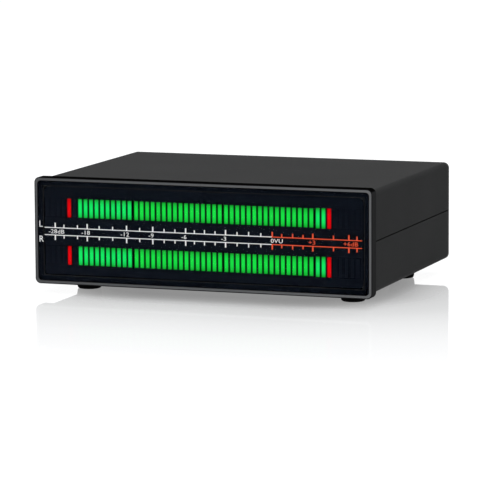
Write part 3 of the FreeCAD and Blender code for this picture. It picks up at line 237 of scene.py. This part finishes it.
def bezel_finish():
    """Near-black sides with painted shade on top, and a front rim painted paler as painted light, paler
    still towards the right, with painted shade along its outer edge and a dark line beside the window.
    """
    finish = Finish("bezel_finish", metallic=0.0, specular_ior_level=0.0)
    grain = finish.noise(0.2 * MM, 3, 0.6)
    side = finish.blend(grain, grey(0.016), grey(0.030))
    # Painted shade: the faces that look up are painted near-black
    painted_shade_on_top = finish.between(finish.facing()[2], 0.0, 1.0, 0.3, 0.6)
    side = finish.blend(painted_shade_on_top, side, grey(0.0015))
    x, y, z = finish.axes()[:3]
    streak = finish.noise(0.3 * MM, 2, 0.6, finish.stretched((1.0, 1.0, 0.06)))
    # Painted light: the front rim is painted paler than the sides, and paler still towards the right
    rim = finish.blend(streak, RIM_PAINTED_LIGHT_DARKER, RIM_PAINTED_LIGHT_PALER)
    painted_light_to_right = finish.between(x, 0.0, RIM_PAINTED_LIGHT_SHARE, -RIM_HALF_W, RIM_HALF_W)
    rim = finish.blend(painted_light_to_right, rim, RIM_PAINTED_LIGHT_RIGHT)
    to_front = finish.math("MULTIPLY", finish.facing()[1], -1.0)
    flat = finish.between(to_front, 0.0, 1.0, 0.62, 0.7)
    in_front = finish.between(y, 1.0, 0.0, FRONT_Y + 0.3 * MM, FRONT_Y + 0.4 * MM)
    beside = finish.math("ABSOLUTE", x)
    above = finish.math("ABSOLUTE", finish.math("SUBTRACT", z, PANEL_MID_Z))
    past_bezel = past_corner(finish, beside, above, BEZEL[1], BEZEL_CORNER)
    past_window = past_corner(finish, beside, above, WINDOW[1], WINDOW_CORNER)
    # Painted shade along the rim's outer edge, where it turns to the side
    clear_of_edge_shade = finish.between(past_bezel, 1.0, 0.0, -RIM_PAINTED_SHADE, -RIM_PAINTED_SHADE / 2)
    inner = finish.between(past_window, 0.0, 1.0, RIM_DARK_INSIDE / 2, RIM_DARK_INSIDE)
    front = finish.blend(finish.math("MULTIPLY", clear_of_edge_shade, inner), grey(0.004), rim)
    base = finish.blend(finish.math("MULTIPLY", flat, in_front), side, front)
    finish.set(base_color=base, roughness=finish.between(grain, 0.4, 0.5))
    finish.bump(grain, 0.008 * MM, 0.5)
    return finish.material


# What stands behind the window gives it its tone
DARK_BACK = (0.0057, 0.0081, 0.0138)
DARK_BACK_LIGHTER = (0.0078, 0.0108, 0.0179)


def window_finish():
    """Lightly smoked acrylic with a slight haze, which reflects next to nothing from the front."""
    finish = Finish(
        "smoked_window_finish",
        base_color=(0.84, 0.87, 0.90),
        transmission_weight=1.0,
        ior=1.49,
        specular_tint=(0.0, 0.0, 0.0),
    )
    haze = finish.noise(9 * MM, 3, 0.6)
    finish.set(roughness=finish.between(haze, 0.004, 0.02, 0.4, 0.7))
    return finish.material


def dark_back(name, grain_size):
    """The matt dark of the mask, which the unlit bars share."""
    finish = Finish(name, specular_ior_level=0.02, roughness=0.6)
    grain = finish.noise(grain_size * MM)
    finish.set(base_color=finish.blend(grain, DARK_BACK, DARK_BACK_LIGHTER))
    return finish.material


# The first module's bars and one later pair have a cooler green: the pair's middle, by the bars' numbers
COOL_PAIR = 48.5
COOL_PAIR_REACH = 1.1

# How a bar's light falls off towards its ends and sides, how uneven the bars are, and their mirrored light
END_FALL = 2.2
SIDE_START = 0.68
SIDE_END = 0.98
SIDE_LIGHT = 0.12
UNEVEN = 0.12
MIRRORED_LIGHT = 0.1


def bar_coordinates(finish):
    """Across a bar and along it, each from -1 to 1, and the bar's number in its row."""
    x, _, z = finish.axes()[:3]
    starts = [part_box(f"upper_led_module_{i + 1}")[0].x for i in range(MODULE_COUNT)]
    offset = starts[0]
    for before, after in zip(starts, starts[1:]):
        gap = after - before - MODULE_CELLS * PITCH
        passed = finish.math("GREATER_THAN", x, after)
        offset = finish.math("ADD", finish.math("MULTIPLY", passed, gap), offset)
    steps = finish.math("DIVIDE", finish.math("SUBTRACT", x, offset), PITCH)
    number = finish.math("FLOOR", steps)
    across = finish.math("SUBTRACT", finish.math("FRACT", steps), 0.5)
    across = finish.math("DIVIDE", across, BAR_W / PITCH / 2)
    rise = finish.math("ABSOLUTE", finish.math("SUBTRACT", z, ROW_MID_Z))
    along = finish.math("DIVIDE", finish.math("SUBTRACT", rise, ROW_RISE), BAR_HALF_HGT)
    return across, along, number


def lit_bar(name, end_colour, middle_colour, strength, cool_colour=None):
    """Diffused resin lit from behind, brightest in the middle of each bar."""
    finish = Finish(name, base_color=shade(end_colour, 0.02), roughness=0.5, specular_ior_level=0.02)
    across, along, number = bar_coordinates(finish)
    rise = finish.math("POWER", finish.math("ABSOLUTE", along), END_FALL)
    rise = finish.math("SUBTRACT", 1.0, rise)
    from_middle = finish.math("ABSOLUTE", across)
    side = finish.between(from_middle, 1.0, SIDE_LIGHT, SIDE_START, SIDE_END, smooth=True)
    chance = finish.add("TexWhiteNoise", (None, number), noise_dimensions="1D").outputs[0]
    rise = finish.math("ADD", rise, finish.between(chance, -UNEVEN, UNEVEN), clamp=True)
    middle = middle_colour
    if cool_colour:
        first = finish.math("LESS_THAN", number, MODULE_CELLS - 0.5)
        late = finish.add("Math", (number, COOL_PAIR, COOL_PAIR_REACH), operation="COMPARE").outputs[0]
        middle = finish.blend(finish.math("MAXIMUM", first, late), middle_colour, cool_colour)
    colour = finish.blend(rise, end_colour, middle)
    bounces = finish.add("LightPath").outputs["Glossy Depth"]
    dimmed = finish.between(bounces, strength, strength * MIRRORED_LIGHT)
    finish.set(emission_color=colour, emission_strength=finish.math("MULTIPLY", dimmed, side))
    return finish.material


def moulded(name, colour, rough, grain_size=0.25, shine=0.5, depth=0.01):
    """Moulded plastic or rubber with a fine texture from its tool."""
    finish = Finish(name, specular_ior_level=shine)
    grain = finish.noise(grain_size * MM, 3, 0.6)
    finish.set(base_color=finish.blend(grain, shade(colour, 0.8), shade(colour, 1.2)))
    finish.set(roughness=finish.spread(grain, rough - 0.06, rough + 0.06))
    finish.bump(grain, depth * MM, 0.6)
    return finish.material


def plated(name, colour, rough, brushing=(1.0, 1.0, 1.0)):
    """Metal with the fine lines and the uneven polish of its making."""
    finish = Finish(name, metallic=1.0)
    lines = finish.noise(0.35 * MM, 3, 0.6, finish.stretched(brushing))
    finish.set(base_color=finish.blend(lines, shade(colour, 0.85), colour))
    finish.set(roughness=finish.spread(lines, rough - 0.08, rough + 0.08))
    finish.bump(lines, 0.004 * MM, 0.4)
    return finish.material


TRACK_CELL = 6 * MM


def board_finish():
    """Green solder mask over tracks that run in two directions."""
    finish = Finish("circuit_board_finish", specular_ior_level=0.5)
    cells = finish.add("TexBrick", (finish.place,), offset=0.37)
    finish.put(cells.inputs["Scale"], 1 / TRACK_CELL)
    finish.put(cells.inputs["Mortar Size"], 0.05)
    finish.put(cells.inputs["Color1"], (0.012, 0.11, 0.04))
    finish.put(cells.inputs["Color2"], (0.016, 0.13, 0.05))
    finish.put(cells.inputs["Mortar"], (0.03, 0.2, 0.08))
    grain = finish.noise(0.6 * MM)
    finish.set(base_color=cells.outputs["Color"], roughness=finish.between(grain, 0.3, 0.42))
    finish.bump(cells.outputs["Fac"], 0.03 * MM, 0.5)
    return finish.material


def can_finish():
    """Dark shrink sleeve round an aluminium can whose top is bare."""
    finish = Finish("capacitor_finish")
    top = finish.between(finish.facing()[2], 0.0, 1.0, 0.8, 0.9)
    grain = finish.noise(0.5 * MM)
    sleeve = finish.blend(grain, (0.02, 0.024, 0.045), (0.03, 0.034, 0.06))
    finish.set(base_color=finish.blend(top, sleeve, (0.6, 0.61, 0.62)), metallic=top)
    finish.set(roughness=finish.between(grain, 0.28, 0.4))
    return finish.material


KNOB_RING = 0.16 * MM


def knob_finish(side):
    """Black anodised, with fine rings turned into its end."""
    centre = middle_of(f"{side}_level_knob")
    finish = Finish(f"{side}_knob_finish", metallic=0.0, specular_ior_level=0.6)
    moved = finish.add("VectorMath", (finish.place, (-centre.x, 0.0, -centre.z)), operation="ADD").outputs[0]
    flat = finish.add("VectorMath", (moved, (1.0, 0.0, 1.0)), operation="MULTIPLY").outputs[0]
    rings = finish.math("SINE", finish.math("MULTIPLY", finish.length(flat), math.tau / KNOB_RING))
    grain = finish.noise(0.2 * MM, 3, 0.6)
    finish.set(base_color=finish.blend(grain, (0.016, 0.016, 0.018), (0.03, 0.03, 0.033)))
    finish.set(roughness=finish.between(grain, 0.28, 0.4))
    finish.bump(rings, 0.006 * MM, 0.5)
    return finish.material


def ink(name, colour):
    """Screen ink with a faint mottle."""
    finish = Finish(name, roughness=0.55, specular_ior_level=0.2)
    grain = finish.noise(0.15 * MM)
    finish.set(base_color=finish.blend(grain, shade(colour, 0.93), colour))
    return finish.material


# A bar's colour at its ends and in its middle
GREEN_END = (0.008, 0.40, 0.028)
GREEN_MIDDLE = (0.010, 0.84, 0.065)
GREEN_COOL = (0.008, 0.92, 0.14)
RED_END = (0.56, 0.002, 0.003)
RED_MIDDLE = (0.84, 0.002, 0.005)

# Brushing that runs one way: noise is drawn out along that axis
ALONG_X = (0.05, 1.0, 1.0)
ALONG_Y = (1.0, 0.05, 1.0)


def dress_case():
    """The shells, the rear panel, the feet and the screws."""
    paint(blasted_black("case_finish", CASE_BLACK, 0.0035, SEAM_Z), "top_shell", "bottom_shell")
    paint(blasted_black("rear_panel_finish", REAR_BLACK, 0.03), "rear_panel")
    paint(moulded("rubber_finish", grey(0.007), rough=0.8, grain_size=0.35, shine=0.02, depth=0.02),
          "foot_front_left", "foot_front_right", "foot_rear_left", "foot_rear_right")
    paint(plated("black_oxide_finish", (0.06, 0.06, 0.062), 0.35), "front_plate_screws", "rear_panel_screws")
    paint(plated("zinc_finish", (0.62, 0.63, 0.65), 0.3), "foot_screws", "display_screws")


def dress_front():
    """The bezel, the window and all that shows through it."""
    paint(bezel_finish(), "front_bezel")
    paint(window_finish(), "front_window")
    paint(dark_back("display_mask_finish", 0.3), "display_mask")
    paint(moulded("tape_finish", DARK_BACK, rough=0.85, grain_size=0.3, shine=0.02), "window_tape")
    paint(moulded("plate_finish", DARK_BACK, rough=0.8, grain_size=0.3, shine=0.02), "front_plate")
    paint(lit_bar("green_light_finish", GREEN_END, GREEN_MIDDLE, 1.0, GREEN_COOL), "green_bars")
    paint(lit_bar("red_light_finish", RED_END, RED_MIDDLE, 1.05), "red_bars")
    paint(dark_back("unlit_bar_finish", 0.4), "dark_bars")
    modules = [f"{row}_led_module_{i + 1}" for row in ("upper", "lower") for i in range(MODULE_COUNT)]
    paint(moulded("module_finish", DARK_BACK, rough=0.7, grain_size=0.3, shine=0.02), *modules)


def dress_inside():
    """The boards and what stands on them."""
    paint(board_finish(), "display_board", "main_board")
    paint(moulded("chip_finish", (0.02, 0.02, 0.022), rough=0.6),
          "driver_chips", "microcontroller", "audio_chips", "voltage_regulator")
    paint(can_finish(), "filter_capacitors")
    paint(moulded("connector_finish", (0.016, 0.016, 0.017), rough=0.45),
          "display_socket", "board_header", "input_jack_block", "output_jack_block", "power_jack",
          "mode_switch")
    paint(plated("steel_finish", (0.55, 0.56, 0.57), 0.35, ALONG_X),
          "left_level_pot", "right_level_pot", "crystal")
    paint(plated("brass_finish", (0.72, 0.55, 0.25), 0.3), "display_standoffs")
    paint(plated("gold_finish", (0.83, 0.62, 0.25), 0.2), "jack_contacts", "header_pins")


def dress_rear():
    """The jacks, the switches and the level controls."""
    paint(plated("nickel_finish", (0.72, 0.71, 0.68), 0.18),
          "jack_shells", "power_jack_pin", "switch_terminals")
    paint(moulded("white_insert_finish", (0.78, 0.78, 0.75), rough=0.35), "left_jack_inserts")
    paint(moulded("red_insert_finish", (0.62, 0.02, 0.02), rough=0.35), "right_jack_inserts")
    paint(moulded("switch_finish", (0.012, 0.012, 0.013), rough=0.25, grain_size=0.4, depth=0.004),
          "power_switch_body", "power_rocker", "mode_button")
    paint(plated("satin_nickel_finish", (0.36, 0.355, 0.345), 0.38), "level_nuts", "level_washers")
    paint(plated("shaft_finish", (0.7, 0.7, 0.7), 0.3, ALONG_Y), "left_level_shaft", "right_level_shaft")
    for side in ("left", "right"):
        paint(knob_finish(side), f"{side}_level_knob")


# Printed and inlaid shapes


def linked(name, data):
    """A new object in the scene."""
    item = bpy.data.objects.new(name, data)
    bpy.context.scene.collection.objects.link(item)
    return item


def add_piece(name, mesh, material, body):
    """A piece of one material that rides on a body."""
    mesh.materials.clear()
    mesh.materials.append(material)
    item = linked(name, mesh)
    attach(item, body)
    return item


def bars_mesh(name, bars, near, far):
    """Flat bars between two depths: each is left, right, low and high."""
    vertices = []
    faces = []
    for left, right, low, high in bars:
        n = len(vertices)
        for y in (near, far):
            vertices += [(left, y, low), (right, y, low), (right, y, high), (left, y, high)]
        faces += [(n, n + 1, n + 2, n + 3), (n + 7, n + 6, n + 5, n + 4)]
        for i in range(4):
            j = (i + 1) % 4
            faces.append((n + i, n + 4 + i, n + 4 + j, n + j))
    mesh = bpy.data.meshes.new(name)
    mesh.from_pydata(vertices, [], faces)
    return mesh


# The share of the font's size that its capitals have
CAP_SHARE = 0.70


def glyphs(text, spacing):
    """A text's outline at the font's own size as a mesh, half a unit thick each way."""
    curve = bpy.data.curves.new("glyphs", "FONT")
    curve.body = text
    curve.space_character = spacing
    curve.extrude = 0.5
    curve.resolution_u = 3
    holder = linked("glyphs", curve)
    bpy.context.view_layer.update()
    mesh = bpy.data.meshes.new_from_object(holder.evaluated_get(bpy.context.evaluated_depsgraph_get()))
    bpy.data.objects.remove(holder)
    bpy.data.curves.remove(curve)
    return mesh


def lettering(name, text, x, z, height, near, far, material, body, squeeze=1.0, spacing=1.0, rear=False):
    """Raised letters in the plane across Y, between two depths: x is their middle and z their feet."""
    mesh = glyphs(text, spacing)
    size = height / CAP_SHARE
    across = [v.co.x for v in mesh.vertices]
    middle = (min(across) + max(across)) / 2
    way = -1 if rear else 1
    for v in mesh.vertices:
        along = (v.co.x - middle) * size * squeeze
        v.co = Vector((x + way * along, near if v.co.z * way > 0 else far, z + v.co.y * size))
    mesh.update()
    mesh.name = name
    return add_piece(name, mesh, material, body)


# The scale: places in millimetres from the panel's middle

PRINT_SHIFT = -0.22
PRINT_MID = -0.17
PRINT_FAR = WINDOW[0].y + 0.01 * MM
PRINT_NEAR = WINDOW[0].y - 0.03 * MM
LINE_RISE = 1.6
LINE_T = 0.34
SCALE_LEFT = -71.65
SCALE_RIGHT = 72.2
RED_FROM = 32.2
LONG, MIDDLE, SHORT = 2.0, 1.55, 1.25
LONG_T, SHORT_T = 0.6, 0.48
# Each tick: its place and its length
TICKS = (
    (-66.69, LONG), (-62.6, SHORT), (-56.33, SHORT), (-51.8, LONG), (-46.23, SHORT), (-39.99, SHORT),
    (-33.57, LONG), (-27.55, SHORT), (-21.54, LONG), (-16.37, SHORT), (-11.4, SHORT), (-6.53, LONG),
    (-2.58, SHORT), (2.0, MIDDLE), (6.8, SHORT), (11.54, LONG), (16.71, SHORT), (21.93, MIDDLE),
    (27.39, SHORT), (32.49, LONG), (36.72, SHORT), (41.57, MIDDLE), (46.19, SHORT), (50.53, LONG),
    (59.67, MIDDLE), (66.44, LONG), (70.0, MIDDLE),
)
# Each number: its text and its middle
NUMBERS = (
    ("-28dB", -66.1), ("-18", -52.5), ("-12", -34.4), ("-9", -22.3), ("-6", -7.3), ("-3", 10.7),
    ("0VU", 34.5), ("+3", 50.1), ("+6dB", 67.3),
)
NUMBER_HGT = 1.75
NUMBER_SQUEEZE = 1.2
NUMBER_SPACING = 1.04
# Each channel letter: its middle and its feet, the feet measured from the panel's middle
CHANNEL_LETTERS = (("L", -73.3, 1.6), ("R", -73.1, -4.95))
CHANNEL_HGT = 2.7
CHANNEL_SQUEEZE = 0.95


def on_window(x, z):
    """A place on the window in metres, from one in millimetres on the print."""
    return (x + PRINT_SHIFT) * MM, PANEL_MID_Z + (z + PRINT_MID) * MM


def make_scale_line(name, left, right, material):
    """Both lines of the scale between two places, with the ticks that stand there."""
    bars = []
    for side in (1, -1):
        near_edge = side * (LINE_RISE - LINE_T / 2)
        far_edge = side * (LINE_RISE + LINE_T / 2)
        bars.append((left, right, near_edge, far_edge))
        for x, length in TICKS:
            if left <= x < right:
                half = (LONG_T if length == LONG else SHORT_T) / 2
                bars.append((x - half, x + half, far_edge, far_edge + side * length))
    placed = []
    for low_x, high_x, *edges in bars:
        a = on_window(low_x, min(edges))
        b = on_window(high_x, max(edges))
        placed.append((a[0], b[0], a[1], b[1]))
    add_piece(name, bars_mesh(name, placed, PRINT_NEAR, PRINT_FAR), material, "case")


def make_scale(white, red):
    """The scale, white up to 0 VU and red past it, its numbers and the channels' letters."""
    make_scale_line("scale_white", SCALE_LEFT, RED_FROM, white)
    make_scale_line("scale_red", RED_FROM, SCALE_RIGHT, red)
    for text, middle in NUMBERS:
        material = red if text.startswith("+") else white
        x, z = on_window(middle, -NUMBER_HGT / 2)
        label = text.replace("-", "minus_").replace("+", "plus_")
        lettering(f"number_{label}", text, x, z, NUMBER_HGT * MM, PRINT_NEAR, PRINT_FAR, material, "case",
                  squeeze=NUMBER_SQUEEZE, spacing=NUMBER_SPACING)
    for text, middle, foot in CHANNEL_LETTERS:
        x, z = on_window(middle, foot - PRINT_MID)
        lettering(f"channel_{text}", text, x, z, CHANNEL_HGT * MM, PRINT_NEAR, PRINT_FAR, white, "case",
                  squeeze=CHANNEL_SQUEEZE)


# Rear legends, the rocker's marks and the knobs' pointers

# Places and sizes in millimetres, from the middle of the controls
LEGEND_HGT = 1.9
LEGEND_T = 0.03
LEGEND_SINK = 0.01
LEGEND_RISE = 9.2
POWER_LEGEND_RISE = 10.4
CHANNEL_DROP = 8.6
JACK_HALF_PITCH = 6.75

# The marks' feet as a share of the rocker's height, and their size
MARK_ON = 0.77
MARK_OFF = 0.2
MARK_HGT = 1.8
MARK_T = 0.03
MARK_SINK = 0.02

# The knob's white line: from its axis outwards, and below the knob's end
POINTER_HALF_W = 0.36
POINTER_FROM = 1.45
POINTER_TO = 4.95
POINTER_BOTTOM = 0.48
POINTER_TOP = 0.3


def legend(name, text, x, z, material):
    lettering(name, text, x, z, LEGEND_HGT * MM, REAR_Y + LEGEND_T * MM, REAR_Y - LEGEND_SINK * MM, material,
              "case", rear=True)


def make_legends(white):
    """The names of the connectors and controls, over them, and the channels' letters under the jacks."""
    controls_z = middle_of("left_level_knob").z
    above = controls_z + LEGEND_RISE * MM
    below = controls_z - CHANNEL_DROP * MM
    for pair in ("input", "output"):
        centre = middle_of(f"{pair}_jack_block").x
        legend(f"legend_{pair}", pair.upper(), centre, above, white)
        for name, side in (("L", 1), ("R", -1)):
            legend(f"legend_{pair}_{name}", name, centre + side * JACK_HALF_PITCH * MM, below, white)
    for side, name in (("left", "LEVEL L"), ("right", "LEVEL R")):
        legend(f"legend_level_{side}", name, middle_of(f"{side}_level_knob").x, above, white)
    legend("legend_mode", "MODE", middle_of("mode_button").x, above, white)
    power_z = controls_z + POWER_LEGEND_RISE * MM
    legend("legend_power", "POWER", middle_of("power_rocker").x, power_z, white)
    legend("legend_inlet", "DC IN", middle_of("power_jack").x, above, white)


def make_rocker_marks(white):
    """A line for on and a ring for off, laid on the rocker's two faces as it stands at rest."""
    face = BVHTree.FromObject(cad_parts["power_rocker"], bpy.context.evaluated_depsgraph_get())
    low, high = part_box("power_rocker")
    centre_x = (low.x + high.x) / 2
    for name, text, share in (("on", "I", MARK_ON), ("off", "O", MARK_OFF)):
        z = low.z + share * (high.z - low.z)
        mark = lettering(f"rocker_{name}", text, centre_x, z, MARK_HGT * MM, MARK_T * MM, -MARK_SINK * MM,
                         white, "rocker", rear=True)
        for v in mark.data.vertices:
            behind = Vector((centre_x, 1.0, v.co.z))
            v.co.y += face.ray_cast(behind, Vector((0, -1, 0)))[0].y
        mark.data.update()


def make_pointers(white):
    """Paint in the groove on the end of each level knob."""
    for side in ("left", "right"):
        centre = middle_of(f"{side}_level_knob")
        end_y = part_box(f"{side}_level_knob")[1].y
        bar = (centre.x - POINTER_HALF_W * MM, centre.x + POINTER_HALF_W * MM,
               centre.z + POINTER_FROM * MM, centre.z + POINTER_TO * MM)
        mesh = bars_mesh(f"{side}_pointer", [bar], end_y - POINTER_BOTTOM * MM, end_y - POINTER_TOP * MM)
        add_piece(f"{side}_pointer", mesh, white, f"{side}_level")


# Camera: fitted to the photograph's four front corners and three case corners

AZIMUTH = math.radians(19.712)
ELEVATION = math.radians(8.035)
ROLL = math.radians(-0.302)
CAMERA_FROM_FRONT = Vector((490.86, -1307.66, 191.59)) * MM
LENS = 239.0


def make_camera():
    data = bpy.data.cameras.new("camera")
    data.lens = LENS
    data.sensor_width = 36
    data.clip_start = 0.05
    data.clip_end = 20
    camera = linked("camera", data)
    back = Vector((
        math.sin(AZIMUTH) * math.cos(ELEVATION),
        -math.cos(AZIMUTH) * math.cos(ELEVATION),
        math.sin(ELEVATION),
    ))
    right = Vector((math.cos(AZIMUTH), math.sin(AZIMUTH), 0))
    up = back.cross(right)
    turned_right = math.cos(ROLL) * right + math.sin(ROLL) * up
    turned_up = -math.sin(ROLL) * right + math.cos(ROLL) * up
    turn = Matrix((turned_right, turned_up, back)).transposed()
    spot = Vector((0, FRONT_Y, PANEL_MID_Z)) + CAMERA_FROM_FRONT
    camera.matrix_world = Matrix.Translation(spot) @ turn.to_4x4()
    bpy.context.scene.camera = camera


# Studio

SKY_COLOUR = (0.9, 0.95, 1.0, 1)
SKY_STRENGTH = 0.45


def make_world():
    """Soft light for the object, and plain white for what is seen of it."""
    world = bpy.data.worlds.new("studio")
    bpy.context.scene.world = world
    world.use_nodes = True
    nodes, links = world.node_tree.nodes, world.node_tree.links
    nodes.clear()
    path = nodes.new("ShaderNodeLightPath")
    first = nodes.new("ShaderNodeMath")
    second = nodes.new("ShaderNodeMath")
    first.operation = second.operation = "MAXIMUM"
    light = nodes.new("ShaderNodeBackground")
    white = nodes.new("ShaderNodeBackground")
    mix = nodes.new("ShaderNodeMixShader")
    output = nodes.new("ShaderNodeOutputWorld")
    light.inputs["Color"].default_value = SKY_COLOUR
    light.inputs["Strength"].default_value = SKY_STRENGTH
    white.inputs["Color"].default_value = (1, 1, 1, 1)
    white.inputs["Strength"].default_value = 1.0
    links.new(path.outputs["Is Camera Ray"], first.inputs[0])
    links.new(path.outputs["Is Glossy Ray"], first.inputs[1])
    links.new(first.outputs[0], second.inputs[0])
    links.new(path.outputs["Is Transmission Ray"], second.inputs[1])
    links.new(second.outputs[0], mix.inputs["Fac"])
    links.new(light.outputs[0], mix.inputs[1])
    links.new(white.outputs[0], mix.inputs[2])
    links.new(mix.outputs[0], output.inputs["Surface"])


FLOOR_HALF = 6.0
# The mirror's strength over the floor, by distance from a box inside the object's outline
MIRROR_INSET = 45 * MM
MIRROR_REACH = 200 * MM
# How much of the distance beside the object's outline counts
MIRROR_BESIDE = 0.6
MIRROR_FADE = (
    (0.0, 0.70), (0.15, 0.71), (0.19, 0.665), (0.22, 0.61), (0.25, 0.515), (0.275, 0.45), (0.30, 0.42),
    (0.35, 0.39), (0.40, 0.345), (0.45, 0.312), (0.50, 0.286), (0.575, 0.256), (0.65, 0.228),
    (0.75, 0.205), (0.85, 0.185), (0.95, 0.145), (1.0, 0.0),
)

# The floor's white, and the share of the lamps' light that shows on it
FLOOR_WHITE = 0.9
FLOOR_LIT = 0.3


def mirror_strength(finish):
    """The mirror's share at each spot of the floor, from its distance to the object."""
    x, y = finish.axes()[:2]
    y = finish.math("SUBTRACT", y, (TOP[1].y + FRONT_Y) / 2)
    out_x = finish.math("SUBTRACT", finish.math("ABSOLUTE", x), TOP[1].x - MIRROR_INSET)
    slowed = (out_x, MIRROR_BESIDE, MIRROR_INSET * (1 - MIRROR_BESIDE))
    slow_x = finish.add("Math", slowed, operation="MULTIPLY_ADD").outputs[0]
    out_x = finish.math("MINIMUM", out_x, slow_x)
    out_y = finish.math("SUBTRACT", finish.math("ABSOLUTE", y), (TOP[1].y - FRONT_Y) / 2 - MIRROR_INSET)
    away = finish.outside(out_x, out_y)
    fade = finish.add("FloatCurve")
    points = fade.mapping.curves[0].points
    for place, share in MIRROR_FADE[1:-1]:
        points.new(place, share)
    for point, (place, share) in zip(points, MIRROR_FADE):
        point.location = (place, share)
        point.handle_type = "VECTOR"
    finish.put(fade.inputs["Value"], finish.between(away, 0.0, 1.0, 0.0, MIRROR_REACH))
    low_view = finish.between(finish.add("LayerWeight").outputs["Facing"], 0.0, 1.0, 0.0, 0.8)
    return finish.math("MULTIPLY", fade.outputs[0], low_view)


def floor_finish():
    """White, with a mirror's sheen close to the object that fades out with distance."""
    finish = Finish("floor_finish")
    link = finish.tree.links.new
    finish.tree.nodes.remove(finish.shader)
    path = finish.add("LightPath").outputs
    seen = finish.math("MAXIMUM", path["Is Camera Ray"], path["Is Glossy Ray"])
    seen = finish.math("MAXIMUM", seen, path["Is Transmission Ray"])
    lit = finish.add("BsdfDiffuse", (grey(FLOOR_WHITE),))
    thin = finish.add("BsdfDiffuse", (grey(FLOOR_LIT),))
    white = finish.add("Emission", (grey(FLOOR_WHITE),))
    bright = finish.add("AddShader")
    link(thin.outputs[0], bright.inputs[0])
    link(white.outputs[0], bright.inputs[1])
    pale = finish.add("MixShader", (seen,))
    link(lit.outputs[0], pale.inputs[1])
    link(bright.outputs[0], pale.inputs[2])
    mirror = finish.add("BsdfGlossy")
    finish.put(mirror.inputs["Color"], grey(1.0))
    finish.put(mirror.inputs["Roughness"], 0.02)
    share = finish.math("MULTIPLY", mirror_strength(finish), path["Is Camera Ray"])
    surface = finish.add("MixShader", (share,))
    link(pale.outputs[0], surface.inputs[1])
    link(mirror.outputs[0], surface.inputs[2])
    link(surface.outputs[0], finish.output.inputs["Surface"])
    return finish.material


def make_floor():
    mesh = bpy.data.meshes.new("floor")
    s = FLOOR_HALF
    mesh.from_pydata([(-s, -s, 0), (s, -s, 0), (s, s, 0), (-s, s, 0)], [], [(0, 1, 2, 3)])
    mesh.materials.append(floor_finish())
    floor = linked("floor", mesh)


# Each softbox: its name, its place, what it aims at, its size and its power in watts
SOFTBOXES = (
    ("overhead_softbox", (0.35, 0.0, 1.05), (0, 0, 0), (1.0, 0.9), 7),
    ("front_softbox", (-0.1, -1.2, 0.9), (0, 0, 0.03), (0.8, 0.6), 6),
)


def softbox(name, spot, aim, size, power):
    data = bpy.data.lights.new(name, "AREA")
    data.shape = "RECTANGLE"
    data.size, data.size_y = size
    data.energy = power
    lamp = linked(name, data)
    lamp.location = spot
    lamp.rotation_euler = (Vector(aim) - Vector(spot)).to_track_quat("-Z", "Y").to_euler()


white_ink = ink("white_ink", (0.9, 0.9, 0.89))
red_ink = ink("red_ink", (0.88, 0.095, 0.03))
legend_ink = ink("legend_ink", (0.7, 0.7, 0.7))

dress_case()
dress_front()
dress_inside()
dress_rear()
make_scale(white_ink, red_ink)
make_legends(legend_ink)
make_rocker_marks(legend_ink)
make_pointers(white_ink)
make_camera()
make_world()
make_floor()
for lamp in SOFTBOXES:
    softbox(*lamp)

bpy.context.scene.view_settings.view_transform = "Standard"
